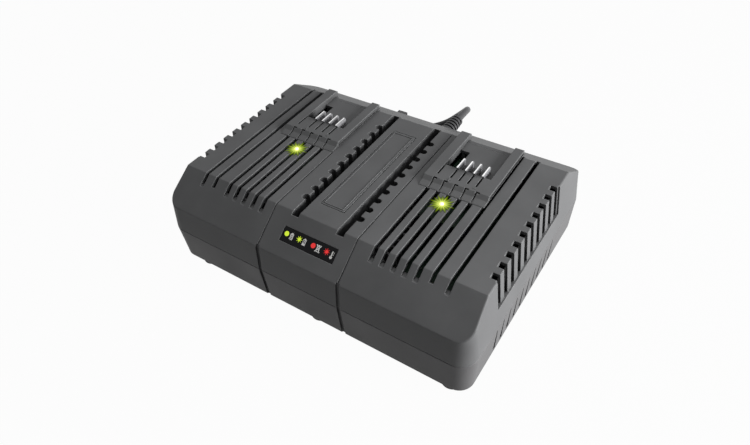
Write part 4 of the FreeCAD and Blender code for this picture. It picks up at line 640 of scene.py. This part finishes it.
on_window("window_lamp_heat", star_of(heat_x - lamp_aside, lamp_up, 1.1, 2.2), print_red)

# Power parts on the main board
# A ferrite transformer with a taped winding, electrolytic capacitors in shrink sleeves, a toroid
# choke, a glass fuse in clips and two extruded heat sinks with the power transistors on them.
ferrite = moulded("sintered_ferrite", (0.045, 0.045, 0.05), 0.55, grain_scale=1800.0, depth=0.5,
                  painted_edge_highlight=0.6)
dress(ferrite, "transformer_core")


def banded(name, first, second, scale, axis, rough, bump_depth):
    """A finish with bands along an axis, as turns of tape, wire or a printed sleeve have."""
    made = bpy.data.materials.new(name)
    made.use_nodes = True
    tree = made.node_tree
    shader = tree.nodes["Principled BSDF"]
    spot = tree.nodes.new("ShaderNodeTexCoord").outputs["Object"]
    bands = tree.nodes.new("ShaderNodeTexWave")
    bands.bands_direction = axis
    bands.inputs["Scale"].default_value = scale
    bands.inputs["Distortion"].default_value = 0.6
    bands.inputs["Detail"].default_value = 1.0
    tree.links.new(spot, bands.inputs["Vector"])
    tree.links.new(mixed(tree, bands.outputs["Fac"], (*first, 1), (*second, 1)),
                   shader.inputs["Base Color"])
    tree.links.new(ranged(tree, noise(tree, spot, 300.0), 0.3, 0.7, rough - 0.05, rough + 0.08),
                   shader.inputs["Roughness"])
    bump = tree.nodes.new("ShaderNodeBump")
    bump.inputs["Strength"].default_value = bump_depth
    bump.inputs["Distance"].default_value = 0.0001
    tree.links.new(bands.outputs["Fac"], bump.inputs["Height"])
    tree.links.new(bump.outputs["Normal"], shader.inputs["Normal"])
    return made


dress(banded("winding_tape", (0.50, 0.36, 0.03), (0.62, 0.46, 0.06), 120.0, "Z", 0.30, 0.3),
      "transformer_bobbin")
dress(banded("capacitor_sleeve", (0.010, 0.014, 0.035), (0.016, 0.022, 0.050), 30.0, "Z", 0.25, 0.1),
      "mains_capacitors", "output_capacitors")
dress(banded("enamelled_copper_turns", (0.28, 0.07, 0.015), (0.48, 0.16, 0.04), 260.0, "DIAGONAL", 0.28,
             0.8),
      "line_filter_choke")
dress(metal("fuse_caps_and_clips", (0.72, 0.66, 0.50), 0.28), "mains_fuse")
dress(metal("extruded_aluminium", (0.22, 0.22, 0.23), 0.50, line_scale=500.0, tarnish=0.4),
      "input_heat_sink",
      "output_heat_sink")
dress(moulded("transistor_epoxy", (0.016, 0.016, 0.017), 0.38, grain_scale=1500.0, painted_edge_highlight=0.4),
      "power_transistors")

# Fan
# A five-centimetre axial fan in black glass-filled nylon stands behind the right louvres. The rotor
# turns on its axle and blows across the heat sinks.
fan_plastic = moulded("fan_nylon", (0.018, 0.018, 0.019), 0.45, grain_scale=1200.0, painted_edge_highlight=0.4)
rotor_plastic = moulded("fan_rotor_nylon", (0.022, 0.022, 0.024), 0.38, grain_scale=1000.0, painted_edge_highlight=0.5)
dress(fan_plastic, "fan_frame", "cord_clamp")
dress(rotor_plastic, "fan_rotor")

# Shade screens
# A woven near-black gauze sits behind the louvres of each side wall, where the fan draws and blows the air.
# It keeps chips out of the casing, and it is a dark sheet that paints the shade behind the openings, so no
# light comes through it.
gauze = bpy.data.node_groups.new("gauze_weave", "GeometryNodeTree")
gauze.interface.new_socket("Geometry", in_out="OUTPUT", socket_type="NodeSocketGeometry")
gauze_inputs = {}
for label, kind in (("Upright Threads", "NodeSocketInt"), ("Level Threads", "NodeSocketInt"),
                    ("Pitch", "NodeSocketFloat"),
                    ("Upright Size", "NodeSocketVector"), ("Level Size", "NodeSocketVector"),
                    ("Upright Start", "NodeSocketVector"), ("Level Start", "NodeSocketVector"),
                    ("Finish", "NodeSocketMaterial")):
    gauze_inputs[label] = gauze.interface.new_socket(label, in_out="INPUT", socket_type=kind).identifier
given = gauze.nodes.new("NodeGroupInput")
joined = gauze.nodes.new("GeometryNodeJoinGeometry")
for threads_in, size_in, start_in, across in (("Upright Threads", "Upright Size", "Upright Start", "Y"),
                                              ("Level Threads", "Level Size", "Level Start", "Z")):
    step = gauze.nodes.new("ShaderNodeCombineXYZ")
    gauze.links.new(given.outputs["Pitch"], step.inputs[across])
    row = gauze.nodes.new("GeometryNodeMeshLine")
    gauze.links.new(given.outputs[threads_in], row.inputs["Count"])
    gauze.links.new(given.outputs[start_in], row.inputs["Start Location"])
    gauze.links.new(step.outputs[0], row.inputs["Offset"])
    thread = gauze.nodes.new("GeometryNodeMeshCube")
    gauze.links.new(given.outputs[size_in], thread.inputs["Size"])
    placed = gauze.nodes.new("GeometryNodeInstanceOnPoints")
    gauze.links.new(row.outputs[0], placed.inputs["Points"])
    gauze.links.new(thread.outputs[0], placed.inputs["Instance"])
    gauze.links.new(placed.outputs[0], joined.inputs[0])
real = gauze.nodes.new("GeometryNodeRealizeInstances")
gauze.links.new(joined.outputs[0], real.inputs[0])
painted = gauze.nodes.new("GeometryNodeSetMaterial")
gauze.links.new(real.outputs[0], painted.inputs[0])
gauze.links.new(given.outputs["Finish"], painted.inputs["Material"])
gauze.links.new(painted.outputs[0], gauze.nodes.new("NodeGroupOutput").inputs[0])
# Painted shade: near-black threads that make the vent openings read dark
shade_gauze_thread = moulded("shade_gauze_thread", (0.010, 0.010, 0.010), 0.80, grain_scale=3000.0, painted_edge_highlight=0.0,
                       painted_hollow_shade=0.0,
                       shine=0.1)
screen_pitch, screen_thread, screen_long, screen_tall, screen_foot = 0.0014, 0.0011, 0.130, 0.052, 0.009
for side, screen_x in (("left", -0.1125), ("right", 0.1130)):
    holder = bpy.data.objects.new(side + "_screen_pattern", bpy.data.meshes.new(side + "_screen_pattern"))
    bpy.context.scene.collection.objects.link(holder)
    pattern = holder.modifiers.new("weave", "NODES")
    pattern.node_group = gauze
    for label, value in (("Upright Threads", int(screen_long / screen_pitch)),
                         ("Level Threads", int(screen_tall / screen_pitch)),
                         ("Pitch", screen_pitch), ("Upright Size", (0.0003, screen_thread, screen_tall)),
                         ("Level Size", (0.0003, screen_long, screen_thread)),
                         ("Upright Start",
                          (screen_x, -screen_long / 2 + screen_pitch / 2, screen_foot + screen_tall / 2)),
                         ("Level Start", (screen_x + 0.0002, 0.0, screen_foot + screen_pitch / 2)),
                         ("Finish", shade_gauze_thread)):
        pattern[gauze_inputs[label]] = value
    woven = bpy.data.meshes.new_from_object(holder.evaluated_get(bpy.context.evaluated_depsgraph_get()))
    bpy.data.objects.remove(holder)
    woven.name = side + "_shade_screen"
    screen = bpy.data.objects.new(side + "_shade_screen", woven)
    bpy.context.scene.collection.objects.link(screen)
    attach(screen, "charger")

# Cord
# A round mains cord in black PVC, 5.6 mm thick. It leaves the ribbed strain relief, drops behind
# the casing and is folded there into a hank of long loops under a strap, up to its plug.
cord_thick = 0.0056
leave = Vector((0.0085, 0.109857, 0.045))
drop = [tuple(leave + Vector(step)) for step in ((0, 0, 0), (0, 0.0141, 0), (-0.004, 0.0281, -0.007),
                                                 (-0.015, 0.0366, -0.021), (-0.028, 0.0366, -0.0345))]
low = 0.00365
high = low + 0.0061
middle_x, middle_y = -0.062, 0.1165
outer_fold, inner_fold = 0.0232, 0.0168
half_run, half_waist, pull = 0.044, 0.013, 0.004


def long_run(offset, start_height, end_height, heading):
    """One run of the hank, drawn in at the waist."""
    outer = middle_y + offset
    inner = outer - math.copysign(pull, offset)
    spread = half_run - 0.010
    return [(middle_x - heading * spread, outer, start_height),
            (middle_x - heading * half_waist, inner, start_height),
            (middle_x + heading * half_waist, inner, end_height),
            (middle_x + heading * spread, outer, end_height)]


def half_turn(side, offset_in, offset_out, height):
    """The fold at one end of the hank, four points round a half circle."""
    radius = abs(offset_in - offset_out) / 2
    centre_y = middle_y + (offset_in + offset_out) / 2
    facing = math.copysign(1, offset_in - offset_out)
    points = []
    for angle in (67.5, 22.5, -22.5, -67.5):
        out_x = radius / math.cos(math.radians(22.5)) * math.cos(math.radians(angle))
        out_y = radius / math.cos(math.radians(22.5)) * math.sin(math.radians(angle)) * facing
        points.append((middle_x + side * (half_run + out_x), centre_y + out_y, height))
    return points


settle_y = middle_y + outer_fold - pull
route = drop + [(-0.033, settle_y + 0.0068, low), (-0.0445, settle_y + 0.0015, low),
                (-0.052, settle_y, low)]
route += long_run(outer_fold, low, low, -1)[2:]
route += half_turn(-1, outer_fold, -outer_fold, low)
route += long_run(-outer_fold, low, low, 1)
route += half_turn(1, -outer_fold, inner_fold, low)
route += long_run(inner_fold, low, low, -1)
route += half_turn(-1, inner_fold, -inner_fold, low)
route += long_run(-inner_fold, low, high, 1)
route += half_turn(1, -inner_fold, inner_fold, high)
route += long_run(inner_fold, high, high, -1)
route += half_turn(-1, inner_fold, -outer_fold, high)
route += long_run(-outer_fold, high, high, 1)
route += [(-0.006, 0.0933, high), (0.0075, 0.0975, 0.0082), (0.019, 0.1036, 0.0086), (0.028, 0.106, high),
          (0.036, 0.106, high)]
cord_line = bpy.data.curves.new("mains_cord_line", "CURVE")
cord_line.dimensions = "3D"
cord_line.resolution_u = 8
cord_line.bevel_depth = cord_thick / 2
cord_line.bevel_resolution = 5
cord_line.use_fill_caps = True
strand = cord_line.splines.new("NURBS")
strand.points.add(len(route) - 1)
for point, place in zip(strand.points, route):
    point.co = (*place, 1)
strand.order_u = 3
strand.use_endpoint_u = True
cord = bpy.data.objects.new("mains_cord_run", cord_line)
bpy.context.scene.collection.objects.link(cord)
cord_sheath = moulded("cord_sheath_pvc", (0.040, 0.040, 0.042), 0.36, grain_scale=1500.0, painted_edge_highlight=0.0,
                      round_by=0.0002)
cord_line.materials.append(cord_sheath)
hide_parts("mains_cord", "cord_hank", "plug_lead")
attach(cord, "charger")

# Strain relief and cord end
# The ribbed sleeve is moulded on to the cord and locked in the rear wall by its flange. Inside, the
# sheath ends at the clamp and two leads go down to the main board.
relief_rubber = moulded("strain_relief_pvc", (0.034, 0.034, 0.036), 0.40, painted_edge_highlight=0.5, round_by=0.0004,
                        painted_hollow_shade=0.7)
dress(relief_rubber, "strain_relief", "mains_leads")

# Plug and strap
# A two-pin plug moulded on to the cord, with flat brass pins, and a woven hook-and-loop strap that
# holds the hank at its waist.
plug_rubber = moulded("plug_pvc", (0.034, 0.034, 0.036), 0.42, painted_edge_highlight=0.35, round_by=0.0010)
dress(plug_rubber, "mains_plug")
dress(metal("brass_pins", (0.80, 0.67, 0.38), 0.24, line_scale=1100.0), "plug_pins")
strap = bpy.data.materials.new("woven_strap")
strap.use_nodes = True
tree = strap.node_tree
shader = tree.nodes["Principled BSDF"]
spot = tree.nodes.new("ShaderNodeTexCoord").outputs["Object"]
threads = []
for axis in ("X", "Y"):
    rows = tree.nodes.new("ShaderNodeTexWave")
    rows.bands_direction = axis
    rows.inputs["Scale"].default_value = 420.0
    rows.inputs["Distortion"].default_value = 0.4
    tree.links.new(spot, rows.inputs["Vector"])
    threads.append(rows.outputs["Fac"])
weave = sum_of(tree, "MAXIMUM", threads[0], threads[1])
tree.links.new(mixed(tree, weave, (0.010, 0.010, 0.011, 1), (0.036, 0.036, 0.038, 1)),
               shader.inputs["Base Color"])
tree.links.new(ranged(tree, noise(tree, spot, 800.0), 0.3, 0.7, 0.75, 0.95), shader.inputs["Roughness"])
bump = tree.nodes.new("ShaderNodeBump")
bump.inputs["Strength"].default_value = 0.7
bump.inputs["Distance"].default_value = 0.0002
tree.links.new(weave, bump.inputs["Height"])
tree.links.new(bump.outputs["Normal"], shader.inputs["Normal"])
shader.inputs["Sheen Weight"].default_value = 0.3
dress(strap, "cord_tie")
